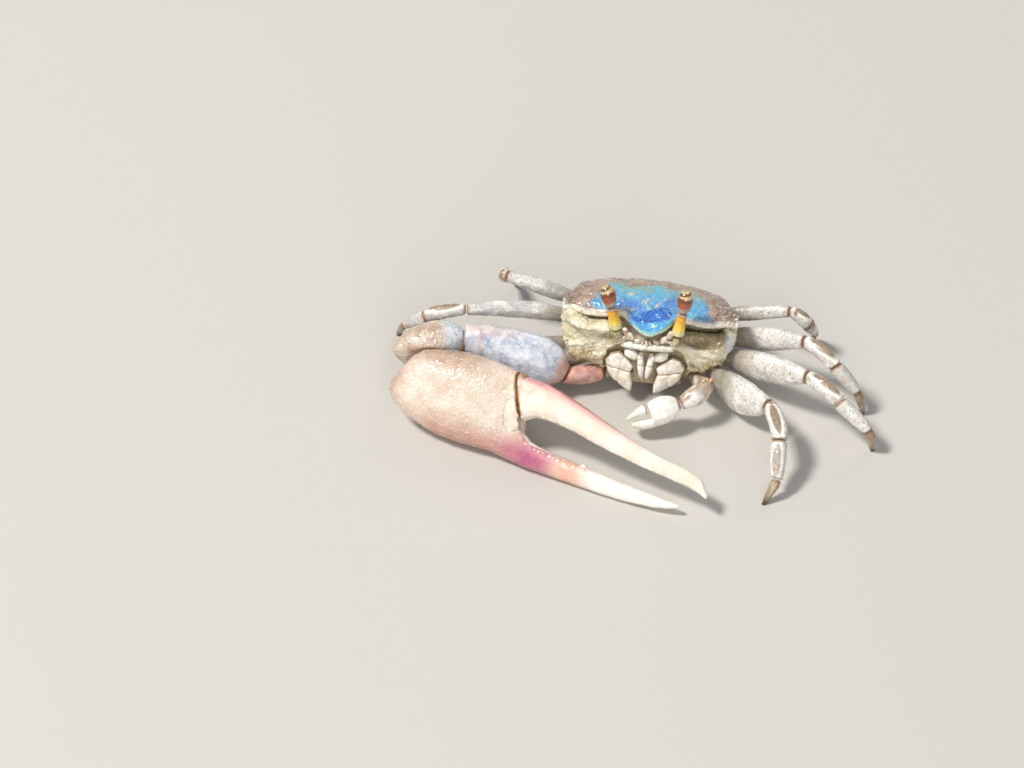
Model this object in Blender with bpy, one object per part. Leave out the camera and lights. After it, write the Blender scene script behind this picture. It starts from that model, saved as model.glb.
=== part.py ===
"""A male fiddler crab at life size, standing with its large right claw laid across its front.

The crab faces -Y and +X is its own left side. Lengths are written in millimetres, and each finished
mesh is scaled to metres. The carapace, face and mouth are modelled in the body's frame, which looks
along -Y before the body is tilted, and each claw hand in a frame of its own.
"""

import math

import bmesh
import bpy
from mathutils import Euler, Matrix, Vector

MM = 0.001
GAP = 0.3
UP = Vector((0, 0, 1))
AHEAD = Vector((0, -1, 0))
SIDEWAYS = Vector((1, 0, 0))

# The body
BODY_CENTRE = Vector((-0.25, 0, 8.5))
BODY_TILT = Euler((math.radians(-15), math.radians(4.5), math.radians(-4.5)))
CARAPACE_HALF_WIDTH = 10.0
CARAPACE_CROWN = 2.15
CROWN_AT = -0.6
FRONT_LOBE_TIP = 5.85
FRONT_LOBE_HALF_WIDTH = 2.3
BROW_LINE = 3.7
CORNER_LINE = 3.1
REAR_LINE = -6.8
REAR_HALF_WIDTH = 6.3
MARGIN_THICKNESS = 0.85
CHEEK_DEPTH = 7.60
MOUTH_DEPTH = 1.40
WALL_DEPTH = 4.6
WALL_RISE = 0.16
FACE_LINE = 4.95
FACE_THICKNESS = 1.8
BODY_REAR_INSET = 0.55
STERNUM_HALF_WIDTH = 5.4
STERNUM_OUTLINE = ((-5.0, 0.62), (-4.4, 0.8), (-2.5, 0.98), (0, 1.0), (1.4, 0.96), (2.2, 0.8), (2.7, 0.55))

# The head, with -1 as the crab's right side
MIRROR = {"left": 1, "right": -1}
SOCKET_RADIUS = 1.12
STALK_RADIUS = 0.6
STALK_FOOT_RADIUS = 0.74
EYE_RADIUS = 0.95
EYE_LENGTH = 3.0
STALK_ROOTS = {"left": Vector((3.3, -4.95, -0.55)), "right": Vector((-3.75, -4.95, -0.6))}
STALK_TIPS = {"left": Vector((3.75, -4.8, 5.1)), "right": Vector((-5.5, -4.8, 4.7))}
ORBIT_CENTRE = Vector((6.3, -4.4, -1.4))
ORBIT_SIZES = {"left": (3.1, 1.35, 1.3), "right": (3.1, 0.8, 1.05)}
MOUTH_BACK = 3.85
MOUTH_CURVE = 0.045
MOUTH_OUTLINE = ((3.3, -2.85), (4.4, -3.8), (4.85, -5.2), (4.6, -6.5), (3.75, -7.65), (2.6, -8.5),
                 (1.9, -9.2), (1.9, -10.0))
RIM_END = Vector((2.95, -4.75, -2.65))
RIM_MIDDLE = Vector((0, -5.9, -2.3))
MERUS_PLATE = ((1.4, -5.35), (1.95, -4.75), (3.1, -3.95), (3.95, -4.35), (4.45, -5.15), (4.3, -5.75),
               (3.0, -5.95), (1.7, -6.25))
ISCHIUM_PLATE = ((1.65, -6.1), (3.0, -5.8), (4.25, -5.6), (4.1, -6.4), (3.45, -7.2), (2.35, -7.95),
                 (1.3, -8.45), (1.3, -7.5), (1.45, -6.7))

# The large claw, whose hand lies back on the floor at an angle
CLAW_CENTRE = Vector((-22.6, -10.7, 4.1))
CLAW_HEADING = Vector((0.907, -0.4215, 0.0)).normalized()
CLAW_RISE = math.radians(50)
HINGE_TOP = Vector((6.3, 5.2, 0))
HINGE_FOOT = Vector((8.5, -0.2, 0))
BEAD_RADIUS = 0.27
NECK_RADIUS = 1.9

# The small claw
SMALL_CENTRE = Vector((0.8, -11.5, 3.1))
SMALL_HEADING = Vector((-0.942, -0.25, -0.23)).normalized()

# Each leg from its hip to the toe on the floor: hip, the bend of the ischium, knee, wrist, heel, toe
LEGS = {
    ("left", 1): ((6.7, -4.5, 2.9), (8.0, -8.2, 2.3), (13.0, -12.7, 5.0), (14.0, -18.0, 4.7),
                  (13.75, -21.7, 2.2), (12.3, -23.3, 0)),
    ("left", 2): ((7.2, -2.4, 2.9), (11.0, -5.2, 4.2), (17.4, -9.6, 6.5), (20.9, -12.6, 5.5),
                  (24.2, -14.9, 3.2), (24.7, -14.8, 0)),
    ("left", 3): ((7.0, 0.4, 3.0), (11.0, -1.4, 4.9), (17.2, -4.9, 7.5), (20.5, -7.8, 6.5),
                  (23.1, -8.7, 3.2), (23.8, -9.0, 0)),
    ("left", 4): ((6.2, 3.7, 3.0), (10.0, 3.5, 4.0), (15.7, 1.2, 6.3), (17.6, 0.4, 5.0),
                  (18.6, 1.8, 2.4), (18.4, 2.9, 0)),
    ("right", 1): ((-6.7, -2.1, 2.9), (-10.2, -2.4, 1.5), (-14.3, -3.1, 1.9), (-17.0, -3.9, 2.0),
                   (-19.6, -4.6, 1.4), (-21.3, -4.7, 0)),
    ("right", 2): ((-7.0, -0.1, 3.0), (-12.0, -0.7, 3.1), (-17.6, -1.0, 3.4), (-20.6, -1.3, 2.7),
                   (-23.8, -0.9, 1.6), (-25.6, -0.5, 0)),
    ("right", 3): ((-6.8, 2.0, 3.6), (-13.0, 1.9, 6.9), (-21.4, 0.9, 7.0), (-25.9, 0.7, 6.0),
                   (-28.4, 2.6, 2.8), (-29.2, 3.9, 0)),
    ("right", 4): ((-6.2, 4.3, 3.9), (-11.0, 5.6, 5.4), (-16.6, 6.3, 7.0), (-17.0, 8.6, 4.8),
                   (-16.2, 10.9, 2.2), (-15.6, 12.0, 0)),
}
MERUS_WIDTHS = {("left", 1): 4.5, ("left", 2): 3.5, ("left", 3): 2.9, ("left", 4): 1.9,
                ("right", 1): 1.9, ("right", 2): 1.7, ("right", 3): 2.2, ("right", 4): 2.0}
LEG_LEAN = Vector((0, 0.42, 0.9))
SIDE_ON = {("left", 1)}
SIDE_ON_LEAN = Vector((1.0, 0.0, 0.35))
CHELA_HIPS = {"left": Vector((4.6, -5.0, 2.2)), "right": Vector((-5.75, -4.35, 2.35))}

SHELL_TAN = (0.45, 0.36, 0.26)
SHELL_BLUE = (0.20, 0.52, 0.78)
FACE_CREAM = (0.74, 0.66, 0.46)
IVORY = (0.86, 0.80, 0.66)
STALK_YELLOW = (0.75, 0.52, 0.13)
EYE_BROWN = (0.32, 0.10, 0.04)
LEG_GREY = (0.66, 0.65, 0.60)
DACTYL_HORN = (0.40, 0.29, 0.17)
CLAW_BEIGE = (0.78, 0.60, 0.46)
CLAW_IVORY = (0.90, 0.82, 0.68)
CLAW_PINK = (0.62, 0.26, 0.22)
MERUS_BLUE = (0.55, 0.60, 0.72)
CLAW_WHITE = (0.90, 0.88, 0.84)


def clear_scene():
    for obj in list(bpy.data.objects):
        bpy.data.objects.remove(obj, do_unlink=True)


def new_collection(name):
    collection = bpy.data.collections.new(name)
    bpy.context.scene.collection.children.link(collection)
    return collection


def new_empty(name, parent=None, matrix=None):
    empty = bpy.data.objects.new(name, None)
    empty.empty_display_size = 5 * MM
    PARTS.objects.link(empty)
    empty.parent = parent
    if matrix is not None:
        turned = matrix.copy()
        turned.translation = matrix.translation * MM
        empty.matrix_local = turned
    return empty


def material(name, colour, roughness, metallic=0.0):
    made = bpy.data.materials.new(name)
    made.use_nodes = True
    shader = made.node_tree.nodes["Principled BSDF"]
    shader.inputs["Base Color"].default_value = (*colour, 1)
    shader.inputs["Roughness"].default_value = roughness
    shader.inputs["Metallic"].default_value = metallic
    return made


def mesh_object(name, bm, collection):
    """A bmesh made an object, in millimetres until finish() scales it."""
    bmesh.ops.recalc_face_normals(bm, faces=bm.faces)
    mesh = bpy.data.meshes.new(name)
    bm.to_mesh(mesh)
    bm.free()
    obj = bpy.data.objects.new(name, mesh)
    collection.objects.link(obj)
    return obj


def finish(obj, parent, colour, roughness, smooth_angle=40):
    """Scale a modelled piece to metres, shade it and place it under the frame that it was drawn in."""
    obj.data.transform(Matrix.Scale(MM, 4))
    obj.data.materials.clear()
    obj.data.materials.append(material(obj.name, colour, roughness))
    obj.data.shade_smooth()
    obj.data.set_sharp_from_angle(angle=math.radians(smooth_angle))
    obj.parent = parent
    return obj


def loft(rings):
    """A closed bmesh skin over rings of equally many points, its ends closed by flat faces."""
    bm = bmesh.new()
    loops = [[bm.verts.new(point) for point in ring] for ring in rings]
    count = len(rings[0])
    for near, far in zip(loops, loops[1:]):
        for i in range(count):
            j = (i + 1) % count
            bm.faces.new((near[i], near[j], far[j], far[i]))
    bm.faces.new(loops[0][::-1])
    bm.faces.new(loops[-1])
    return bm


def power_wave(angle, power):
    """Cosine and sine of an angle, squared off by a power under one."""
    c = math.cos(angle)
    s = math.sin(angle)
    return math.copysign(abs(c) ** power, c), math.copysign(abs(s) ** power, s)


def oval(centre, across, through, width, thickness, sides, power=0.9):
    """A ring of points: an oval of this width along one axis and this thickness along the other."""
    ring = []
    for i in range(sides):
        c, s = power_wave(2 * math.pi * (i + 0.5) / sides, power)
        ring.append(centre + across * (c * width / 2) + through * (s * thickness / 2))
    return ring


def onto_plane(ring, along, point, normal):
    """Each point of a ring slid along a direction until it lies in a plane."""
    slope = along.dot(normal)
    return [p + along * ((point - p).dot(normal) / slope) for p in ring]


def bend(path, t):
    """The point and the direction at t along a curve from path[0] to path[2], pulled towards path[1]."""
    start, pull, end = path
    point = start * (1 - t) ** 2 + pull * (2 * t * (1 - t)) + end * t**2
    return point, ((pull - start) * (1 - t) + (end - pull) * t).normalized()


def limb(path, stations, lean, start_plane, end_plane, sides=10):
    """A limb segment along a bent path. Stations are (place along it, width, thickness)."""
    rings = []
    for place, width, thickness in stations:
        centre, along = bend(path, place)
        across = (lean - along * lean.dot(along)).normalized()
        ring = oval(centre, across, along.cross(across), width, thickness, sides)
        if place == 0:
            ring = onto_plane(ring, along, *start_plane)
        if place == 1:
            ring = onto_plane(ring, along, *end_plane)
        rings.append(ring)
    return loft(rings)


def joint(before, after, offset):
    """The plane where two paths meet, moved along them by offset."""
    normal = (bend(before, 1)[1] + bend(after, 0)[1]).normalized()
    return before[2] + normal * offset, normal


def trim(bm, point, normal):
    """Cut off what lies beyond a plane and close the cut with one flat face."""
    geometry = bm.verts[:] + bm.edges[:] + bm.faces[:]
    cut = bmesh.ops.bisect_plane(bm, geom=geometry, plane_co=point, plane_no=normal, clear_outer=True)
    edges = [e for e in cut["geom_cut"] if isinstance(e, bmesh.types.BMEdge)]
    if edges:
        bmesh.ops.holes_fill(bm, edges=edges, sides=0)


def keep_largest_shell(bm):
    """Delete every closed surface but the one with the most faces."""
    left = set(bm.faces)
    shells = []
    while left:
        shell = {left.pop()}
        rim = set(shell)
        while rim:
            rim = {f for face in rim for e in face.edges for f in e.link_faces} - shell
            shell |= rim
        left -= shell
        shells.append(shell)
    largest = max(shells, key=len)
    bmesh.ops.delete(bm, geom=[f for f in bm.faces if f not in largest], context="FACES")


def boolean(obj, pieces, operation):
    """One applied Boolean of an object with a collection of closed pieces, which are then removed."""
    operands = new_collection("Joined pieces")
    for piece in pieces:
        for collection in list(piece.users_collection):
            collection.objects.unlink(piece)
        operands.objects.link(piece)
    modifier = obj.modifiers.new(operation.title(), "BOOLEAN")
    modifier.operation = operation
    modifier.operand_type = "COLLECTION"
    modifier.collection = operands
    modifier.solver = "EXACT"
    graph = bpy.context.evaluated_depsgraph_get()
    result = bpy.data.meshes.new_from_object(obj.evaluated_get(graph))
    obj.modifiers.clear()
    obj.data = result
    for piece in pieces:
        bpy.data.objects.remove(piece, do_unlink=True)
    bpy.data.collections.remove(operands)
    bm = bmesh.new()
    bm.from_mesh(obj.data)
    bmesh.ops.remove_doubles(bm, verts=bm.verts, dist=0.0005)
    keep_largest_shell(bm)
    bm.to_mesh(obj.data)
    bm.free()


def ball(centre, size, turn=None, segments=12, rings=8):
    """A sphere stretched to three half-axes, turned and placed."""
    bm = bmesh.new()
    bmesh.ops.create_uvsphere(bm, u_segments=segments, v_segments=rings, radius=1)
    matrix = Matrix.Translation(centre) @ (turn or Matrix()) @ Matrix.Diagonal((*size, 1))
    bmesh.ops.transform(bm, matrix=matrix, verts=bm.verts)
    return bm


def cone(start, end, start_radius, end_radius, sides=12):
    """A capped cone between two points."""
    bm = bmesh.new()
    way = end - start
    bmesh.ops.create_cone(bm, cap_ends=True, segments=sides, radius1=start_radius,
                          radius2=end_radius, depth=way.length)
    turn = way.to_track_quat("Z", "Y").to_matrix().to_4x4()
    bmesh.ops.transform(bm, matrix=Matrix.Translation((start + end) / 2) @ turn, verts=bm.verts)
    return bm


def bead(centre, radius):
    """A tubercle of few faces."""
    bm = bmesh.new()
    bmesh.ops.create_icosphere(bm, subdivisions=1, radius=radius)
    bmesh.ops.translate(bm, vec=centre, verts=bm.verts)
    return mesh_object("bead", bm, TOOLS)


def smooth_step(low, high, value):
    t = min(max((value - low) / (high - low), 0), 1)
    return t * t * (3 - 2 * t)


def between(low, high, t):
    return low + (high - low) * t


def read_table(table, place):
    """The row of a table at a place, each row being (place, value, value...), with eased steps."""
    for near, far in zip(table, table[1:]):
        if place <= far[0]:
            t = (place - near[0]) / (far[0] - near[0])
            return [between(a, b, t) for a, b in zip(near[1:], far[1:])]
    return list(table[-1][1:])


def front_of_carapace(x):
    """How far forward the carapace reaches at this x: the front lobe, the brows, the corners."""
    side = abs(x)
    brow = between(BROW_LINE, CORNER_LINE, smooth_step(6, CARAPACE_HALF_WIDTH, side))
    lobe = FRONT_LOBE_TIP - (side / FRONT_LOBE_HALF_WIDTH) ** 2.4
    past_lobe = smooth_step(FRONT_LOBE_HALF_WIDTH - 0.35, FRONT_LOBE_HALF_WIDTH + 0.35, side)
    return between(lobe, brow, past_lobe)


def rear_of_carapace(x):
    """Where the carapace ends behind at this x: a straight rear edge, then the slanting sides."""
    side = abs(x)
    slant = between(REAR_LINE + 0.5, 1.4, smooth_step(REAR_HALF_WIDTH, CARAPACE_HALF_WIDTH, side))
    return between(REAR_LINE, slant, smooth_step(REAR_HALF_WIDTH - 1.2, REAR_HALF_WIDTH + 0.6, side))


def carapace_height(x, forward):
    """The height of the shell's upper surface: domed, grooved round the middle, drooping at the brows."""
    side = abs(x) / CARAPACE_HALF_WIDTH
    fall = 0.055 if forward > CROWN_AT else 0.087
    height = CARAPACE_CROWN - fall * (forward - CROWN_AT) ** 2
    height -= (0.85 + 0.22 * max(CORNER_LINE - forward, 0)) * side**2.5
    in_brow = smooth_step(2.4, 4.5, abs(x)) * (1 - smooth_step(7.0, 9.6, abs(x)))
    height -= 0.35 * in_brow * math.exp(-(((forward - BROW_LINE) / 0.9) ** 2))
    long_groove = math.exp(-(((abs(x) - 3.1) / 0.55) ** 2)) * smooth_step(-5.5, -3, forward)
    long_groove *= 1 - smooth_step(1.0, 2.6, forward)
    cross_groove = math.exp(-(((forward + 1.5) / 0.45) ** 2)) * (1 - smooth_step(1.8, 3.0, abs(x)))
    front_groove = math.exp(-((abs(x) / 0.4) ** 2)) * smooth_step(3.0, 4.5, forward)
    return height - 0.3 * long_groove - 0.22 * cross_groove - 0.15 * front_groove


def carapace_underside(x, forward):
    """The level of the shell's lower face: a straight line from its front edge to its rear edge."""
    front, rear = front_of_carapace(x), rear_of_carapace(x)
    t = (forward - rear) / (front - rear)
    edges = carapace_height(x, rear), carapace_height(x, front)
    return between(edges[0], edges[1], t) - MARGIN_THICKNESS


def side_places(count, limit):
    """Places from side to side, closer together towards both ends."""
    return [limit * math.sin(math.pi / 2 * (2 * i / (count - 1) - 1)) for i in range(count)]


def build_carapace():
    """The shell over the back, with a rolled edge all round."""
    rings = []
    for x in side_places(31, CARAPACE_HALF_WIDTH):
        front, rear = front_of_carapace(x), rear_of_carapace(x)
        ring = []
        for i in range(15):
            forward = between(rear, front, (1 - math.cos(math.pi * i / 14)) / 2)
            ring.append(Vector((x, -forward, carapace_height(x, forward))))
        for part in (0.33, 0.67):
            edge = Vector((x, -front, carapace_height(x, front) - part * MARGIN_THICKNESS))
            ring.append(edge + Vector((0, -0.12, 0)))
        for t in (0.97, 0.6, 0.3, 0.03):
            forward = between(rear, front, t)
            ring.append(Vector((x, -forward, carapace_underside(x, forward))))
        ring.append(Vector((x, -rear + 0.1, carapace_height(x, rear) - MARGIN_THICKNESS / 2)))
        rings.append(ring)
    shell = mesh_object("carapace", loft(rings), PARTS)
    finish(shell, BODY, SHELL_BLUE, 0.3)


def face_front(x):
    """How far forward the face stands at this x."""
    return FACE_LINE - 0.55 * (abs(x) / 7) ** 2 - 1.1 * smooth_step(7.5, 10.2, abs(x))


def face_depth(x):
    """How far down the cheeks reach at this x, with the mouth lower between them."""
    cheek = CHEEK_DEPTH * math.sqrt(max(1 - (abs(x) / 10.2) ** 7, 0.02))
    return cheek + MOUTH_DEPTH * (1 - smooth_step(3.9, 5.6, abs(x)))


def wall_foot(forward):
    """The level where the side walls end over the limbs, higher towards the back."""
    return -WALL_DEPTH + WALL_RISE * max(1 - forward, 0)


def lower_body(back_shift, under_shell, swell, name, collection):
    """The body under the shell, in rings from side to side, or a copy moved back to cut it."""
    rings = []
    for x in side_places(31, CARAPACE_HALF_WIDTH + swell):
        front = face_front(x)
        rear = rear_of_carapace(max(min(x, 9.9), -9.9)) + BODY_REAR_INSET
        ring = []
        for i in range(20):
            c, s = power_wave(2 * math.pi * i / 20, 0.55)
            forward = between(rear, front, (1 + c) / 2)
            level = wall_foot(forward - back_shift)
            if under_shell:
                level = carapace_underside(max(min(x, 9.9), -9.9), forward) - GAP
            low = min(-face_depth(x) * between(0.5, 1, smooth_step(rear, front, forward)), level - 0.4)
            down = (1 - s) / 2
            lean_back = 0.5 * down * (1 + c) / 2
            if not under_shell:
                low -= 1.0
            ring.append(Vector((x, back_shift + lean_back - forward, between(level, low, down))))
        rings.append(ring)
    return mesh_object(name, loft(rings), collection)


def mouth_back(x):
    """How far the hollow of the mouth bends back at this x."""
    return MOUTH_CURVE * abs(x) ** 1.4


def mouth_pocket():
    """The cutter of the hollow that the mouth plates lie in."""
    bm = bmesh.new()
    outline = [Vector((x, 0, z)) for x, z in MOUTH_OUTLINE]
    outline += [Vector((-p.x, 0, p.z)) for p in reversed(outline)]
    front = [bm.verts.new(p + Vector((0, -8, 0))) for p in outline]
    back = [bm.verts.new(p + Vector((0, mouth_back(p.x) - MOUTH_BACK, 0))) for p in outline]
    bm.faces.new(front)
    bm.faces.new(back[::-1])
    for i in range(len(outline)):
        j = (i + 1) % len(outline)
        bm.faces.new((front[i], back[i], back[j], front[j]))
    return mesh_object("mouth pocket", bm, TOOLS)


def to_body(point):
    """A point of the standing crab, in the body's own frame."""
    return BODY_MATRIX.inverted() @ point


def coxa_places():
    """Each limb's coxa in the body's frame: its root, its end, the limb's direction and its radius."""
    ends = []
    for (side, number), path in LEGS.items():
        ends.append((Vector(path[0]), Vector(path[1]), 0.85 if number < 4 else 0.75))
    for side, hip in CHELA_HIPS.items():
        ends.append((hip, hip + CHELA_START[side], 1.0 if side == "right" else 0.8))
    places = []
    for hip, ahead, radius in ends:
        end = to_body(hip)
        way = (to_body(ahead) - end).normalized()
        root = Vector((end.x * 0.5, end.y + 0.25 * math.copysign(1, -end.y), -6.0))
        places.append((root, end, way, radius))
    return places


def coxa_clearance(root, end, way, radius):
    """The cutter that keeps the face clear of a coxa and of the start of its limb."""
    wide = radius + 0.45
    along = (end - root).normalized()
    bm = cone(root - along * 0.4, end + along * 0.3, radius * 1.15 + 0.45, wide, 12)
    onward = cone(end - way * 0.4, end + way * 3.2, wide, wide + 0.45, 12)
    return [mesh_object("coxa clearance", bm, TOOLS), mesh_object("limb clearance", onward, TOOLS)]


def build_face():
    """Cheeks, orbits, mouth frame and the side walls under the shell, in one piece."""
    face = lower_body(0, True, 0.0, "face", PARTS)
    hollow = lower_body(FACE_THICKNESS, False, 0.6, "hollow", TOOLS)
    orbits = []
    for side, size in ORBIT_SIZES.items():
        centre = ORBIT_CENTRE.copy()
        centre.x *= MIRROR[side]
        slope = Matrix.Rotation(math.radians(-6 * MIRROR[side]), 4, "Y")
        orbits.append(mesh_object("orbit", ball(centre, size, slope), TOOLS))
    sockets = [mesh_object("socket", ball(root + Vector((0, 0.1, 0.5)), (SOCKET_RADIUS,) * 3), TOOLS)
               for root in STALK_ROOTS.values()]
    hips = [cutter for place in coxa_places() for cutter in coxa_clearance(*place)]
    below = breastplate(GAP, "room for the sternum", TOOLS)
    boolean(face, [hollow, below, mouth_pocket()] + orbits + sockets + hips, "DIFFERENCE")
    rim_start = Vector((-RIM_END.x, RIM_END.y, RIM_END.z))
    stations = ((0, 0.5, 0.6), (0.2, 0.62, 0.8), (0.46, 0.62, 0.8), (0.5, 0.5, 0.7), (0.54, 0.62, 0.8),
                (0.8, 0.62, 0.8), (1, 0.5, 0.6))
    rim = limb((rim_start, RIM_MIDDLE, RIM_END), stations, UP, (rim_start, SIDEWAYS), (RIM_END, SIDEWAYS), 8)
    pieces = [mesh_object("rim", rim, TOOLS)]
    for side, root in STALK_ROOTS.items():
        way = (STALK_TIPS[side] - root).normalized()
        seat = cone(root - way * 1.5, root - way * GAP, STALK_FOOT_RADIUS + 0.1, STALK_FOOT_RADIUS, 12)
        pieces.append(mesh_object("stalk seat", seat, TOOLS))
    boolean(face, pieces, "UNION")
    finish(face, BODY, FACE_CREAM, 0.55)


def sternum_floor(forward):
    """The level of the breastplate's underside, which rises towards the back."""
    return between(-5.9, -8.2, smooth_step(-5.5, 3.0, forward))


def breastplate(swell, name, collection):
    """The plate under the body, or a swollen copy that keeps the face clear of it."""
    rings = []
    for forward, width in STERNUM_OUTLINE:
        low = sternum_floor(forward) - swell
        top = wall_foot(forward) - GAP + 1.3 * swell
        half_width = width * STERNUM_HALF_WIDTH + swell
        end_swell = swell if forward == STERNUM_OUTLINE[-1][0] else 0
        ring = []
        for i in range(16):
            c, s = power_wave(2 * math.pi * (i + 0.5) / 16, 0.6)
            ring.append(Vector((c * half_width, -forward - end_swell, between(low, top, (1 + s) / 2))))
        rings.append(ring)
    return mesh_object(name, loft(rings), collection)


def build_sternum():
    """The breastplate with the stub of each limb's coxa."""
    sternum = breastplate(0, "sternum", PARTS)
    stubs = []
    for root, end, way, radius in coxa_places():
        face_centre = end - way * (GAP / 2)
        stub = cone(root, face_centre, radius * 1.15, radius, 12)
        for vert in stub.verts:
            if (vert.co - end).length < (vert.co - root).length:
                vert.co += way * (face_centre - vert.co).dot(way)
        stubs.append(mesh_object("coxa", stub, TOOLS))
    boolean(sternum, stubs, "UNION")
    finish(sternum, BODY, IVORY, 0.5)


def build_abdomen():
    """The narrow folded tail of the male, flat under the breastplate."""
    rings = []
    for forward, half_width in ((-5.2, 1.7), (-3.6, 1.75), (-1.8, 1.55), (0, 1.3), (1.2, 0.95), (1.9, 0.5)):
        top = sternum_floor(forward) - GAP - 0.05
        ring = []
        for i in range(12):
            c, s = power_wave(2 * math.pi * (i + 0.5) / 12, 0.6)
            ring.append(Vector((c * half_width, -forward, top - 0.35 + s * 0.35)))
        rings.append(ring)
    finish(mesh_object("abdomen", loft(rings), PARTS), BODY, IVORY, 0.5)


def plate(outline, front, thickness):
    """A mouth plate: an outline set on the curve of the face, rounded at its edges."""
    bm = bmesh.new()
    rings = []
    for depth, inset in ((0, 0.0), (0.6, 0.0), (0.9, 0.12), (1.0, 0.32)):
        middle = sum((Vector(p) for p in outline), Vector((0, 0))) / len(outline)
        ring = []
        for point in outline:
            p = Vector(point)
            p += (middle - p).normalized() * inset
            ring.append(bm.verts.new((p.x, mouth_back(p.x) - front - depth * thickness, p.y)))
        rings.append(ring)
    for near, far in zip(rings, rings[1:]):
        for i in range(len(outline)):
            j = (i + 1) % len(outline)
            bm.faces.new((near[i], near[j], far[j], far[i]))
    bm.faces.new(rings[0][::-1])
    middle = bm.verts.new(sum((v.co for v in rings[-1]), Vector()) / len(outline) + Vector((0, -0.12, 0)))
    for i in range(len(outline)):
        bm.faces.new((rings[-1][i], rings[-1][(i + 1) % len(outline)], middle))
    return bm


def build_mouth():
    """The two plated mouth feet that close the mouth, each with its bent feeler."""
    for name, side in MIRROR.items():
        outlines = [[(side * x, z) for x, z in outline] for outline in (MERUS_PLATE, ISCHIUM_PLATE)]
        plates = mesh_object(f"maxilliped_{name}", plate(outlines[0], MOUTH_BACK + 0.76, 0.65), PARTS)
        boolean(plates, [mesh_object("plate", plate(outlines[1], MOUTH_BACK + 0.74, 0.8), TOOLS)], "UNION")
        finish(plates, BODY, IVORY, 0.4)
        tip = (Vector((side * 0.62, -4.7, -3.95)), Vector((side * 0.56, -5.45, -4.9)),
               Vector((side * 0.27, -5.0, -6.75)))
        stations = ((0, 0.5, 0.5), (0.3, 0.62, 0.6), (0.6, 0.62, 0.6), (0.85, 0.42, 0.42), (1, 0.16, 0.16))
        palp = limb(tip, stations, SIDEWAYS, (tip[0], AHEAD), (tip[2], bend(tip, 1)[1]), 8)
        base = (Vector((side * 2.35, -4.6, -3.72)), Vector((side * 1.5, -5.2, -3.75)),
                Vector((side * 0.6, -4.95, -4.15)))
        stations = ((0, 0.65, 0.6), (0.4, 0.95, 0.7), (1, 0.6, 0.55))
        arm = limb(base, stations, UP, (base[0], SIDEWAYS), (base[2], bend(base, 1)[1]), 8)
        palp = mesh_object(f"palp_{name}", palp, PARTS)
        boolean(palp, [mesh_object("palp base", arm, TOOLS)], "UNION")
        finish(palp, BODY, IVORY, 0.35)


def build_eyes():
    """Each stalk is a turned piece with its eye a separate cap above it."""
    for name, root in STALK_ROOTS.items():
        way = STALK_TIPS[name] - root
        stalk_length = way.length - EYE_LENGTH
        r = STALK_RADIUS
        foot = STALK_FOOT_RADIUS
        profile = ((0, 0), (foot, 0), (foot * 1.02, 0.4), (between(r, foot, 0.5), 1.1), (r, 1.8),
                   (r * 0.97, stalk_length - 0.4), (r * 1.06, stalk_length), (0, stalk_length))
        turn = Matrix.Translation(root) @ way.to_track_quat("Z", "Y").to_matrix().to_4x4()
        finish(mesh_object(f"eyestalk_{name}", turned(profile, turn), PARTS), BODY, STALK_YELLOW, 0.4)
        e = EYE_RADIUS
        start = stalk_length + GAP
        height = EYE_LENGTH - GAP
        widest = height * 0.55
        cap = [(0, start), (r * 1.08, start), (e * 0.86, start + 0.5), (e * 0.97, start + 1.0)]
        for i in range(7):
            angle = math.pi / 2 * i / 6
            wide = e * math.cos(angle) if i < 6 else 0
            cap.append((wide, start + widest + (height - widest) * math.sin(angle)))
        finish(mesh_object(f"eye_{name}", turned(cap, turn), PARTS), BODY, EYE_BROWN, 0.12)


def turned(profile, matrix, sides=14):
    """A profile of (radius, height) turned about its axis, then placed."""
    bm = bmesh.new()
    verts = [bm.verts.new((radius, 0, height)) for radius, height in profile]
    edges = [bm.edges.new(pair) for pair in zip(verts, verts[1:])]
    bmesh.ops.spin(bm, geom=verts + edges, axis=UP, cent=(0, 0, 0), angle=math.tau, steps=sides,
                   use_merge=True)
    bmesh.ops.remove_doubles(bm, verts=bm.verts, dist=0.001)
    bmesh.ops.transform(bm, matrix=matrix, verts=bm.verts)
    return bm


def build_antennae():
    """A short feeler beside the front lobe on each side, lying out over the cheek."""
    for name, side in MIRROR.items():
        path = (Vector((side * 2.1, -5.55, -1.2)), Vector((side * 3.0, -6.8, -1.7)),
                Vector((side * 4.5, -5.75, -2.55)))
        stations = ((0, 0.5, 0.5), (0.3, 0.5, 0.5), (0.6, 0.42, 0.42), (1, 0.22, 0.22))
        feeler = limb(path, stations, UP, (path[0], AHEAD), (path[2], bend(path, 1)[1]), 8)
        finish(mesh_object(f"antenna_{name}", feeler, PARTS), BODY, IVORY, 0.4)


def hand_frame(centre, heading, rise, lean_back):
    """The frame of a claw's hand: X along the fingers, Y up across the palm, Z square to its faces."""
    along = heading.normalized()
    level = UP.cross(along) * lean_back
    across = level * math.cos(rise) + UP * math.sin(rise)
    across = (across - along * across.dot(along)).normalized()
    frame = Matrix((along, across, along.cross(across))).transposed().to_4x4()
    return Matrix.Translation(centre) @ frame


def hand_ring(place, low, high, thickness, sides, power=0.8):
    """A ring across a hand or finger at this place, from its lower to its upper edge."""
    centre = Vector((place, (low + high) / 2, 0))
    return oval(centre, Vector((0, 1, 0)), Vector((0, 0, 1)), high - low, thickness, sides, power)


def hand_loft(table, steps, sides, power=0.8, crowd=1.0):
    """Rings along a hand's X axis, crowded towards its root by a power over one.

    Table rows are (place, lower edge, upper edge, thickness).
    """
    first, last = table[0][0], table[-1][0]
    rings = []
    for i in range(steps + 1):
        place = between(first, last, (i / steps) ** crowd)
        rings.append(hand_ring(place, *read_table(table, place), sides, power))
    return rings


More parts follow.
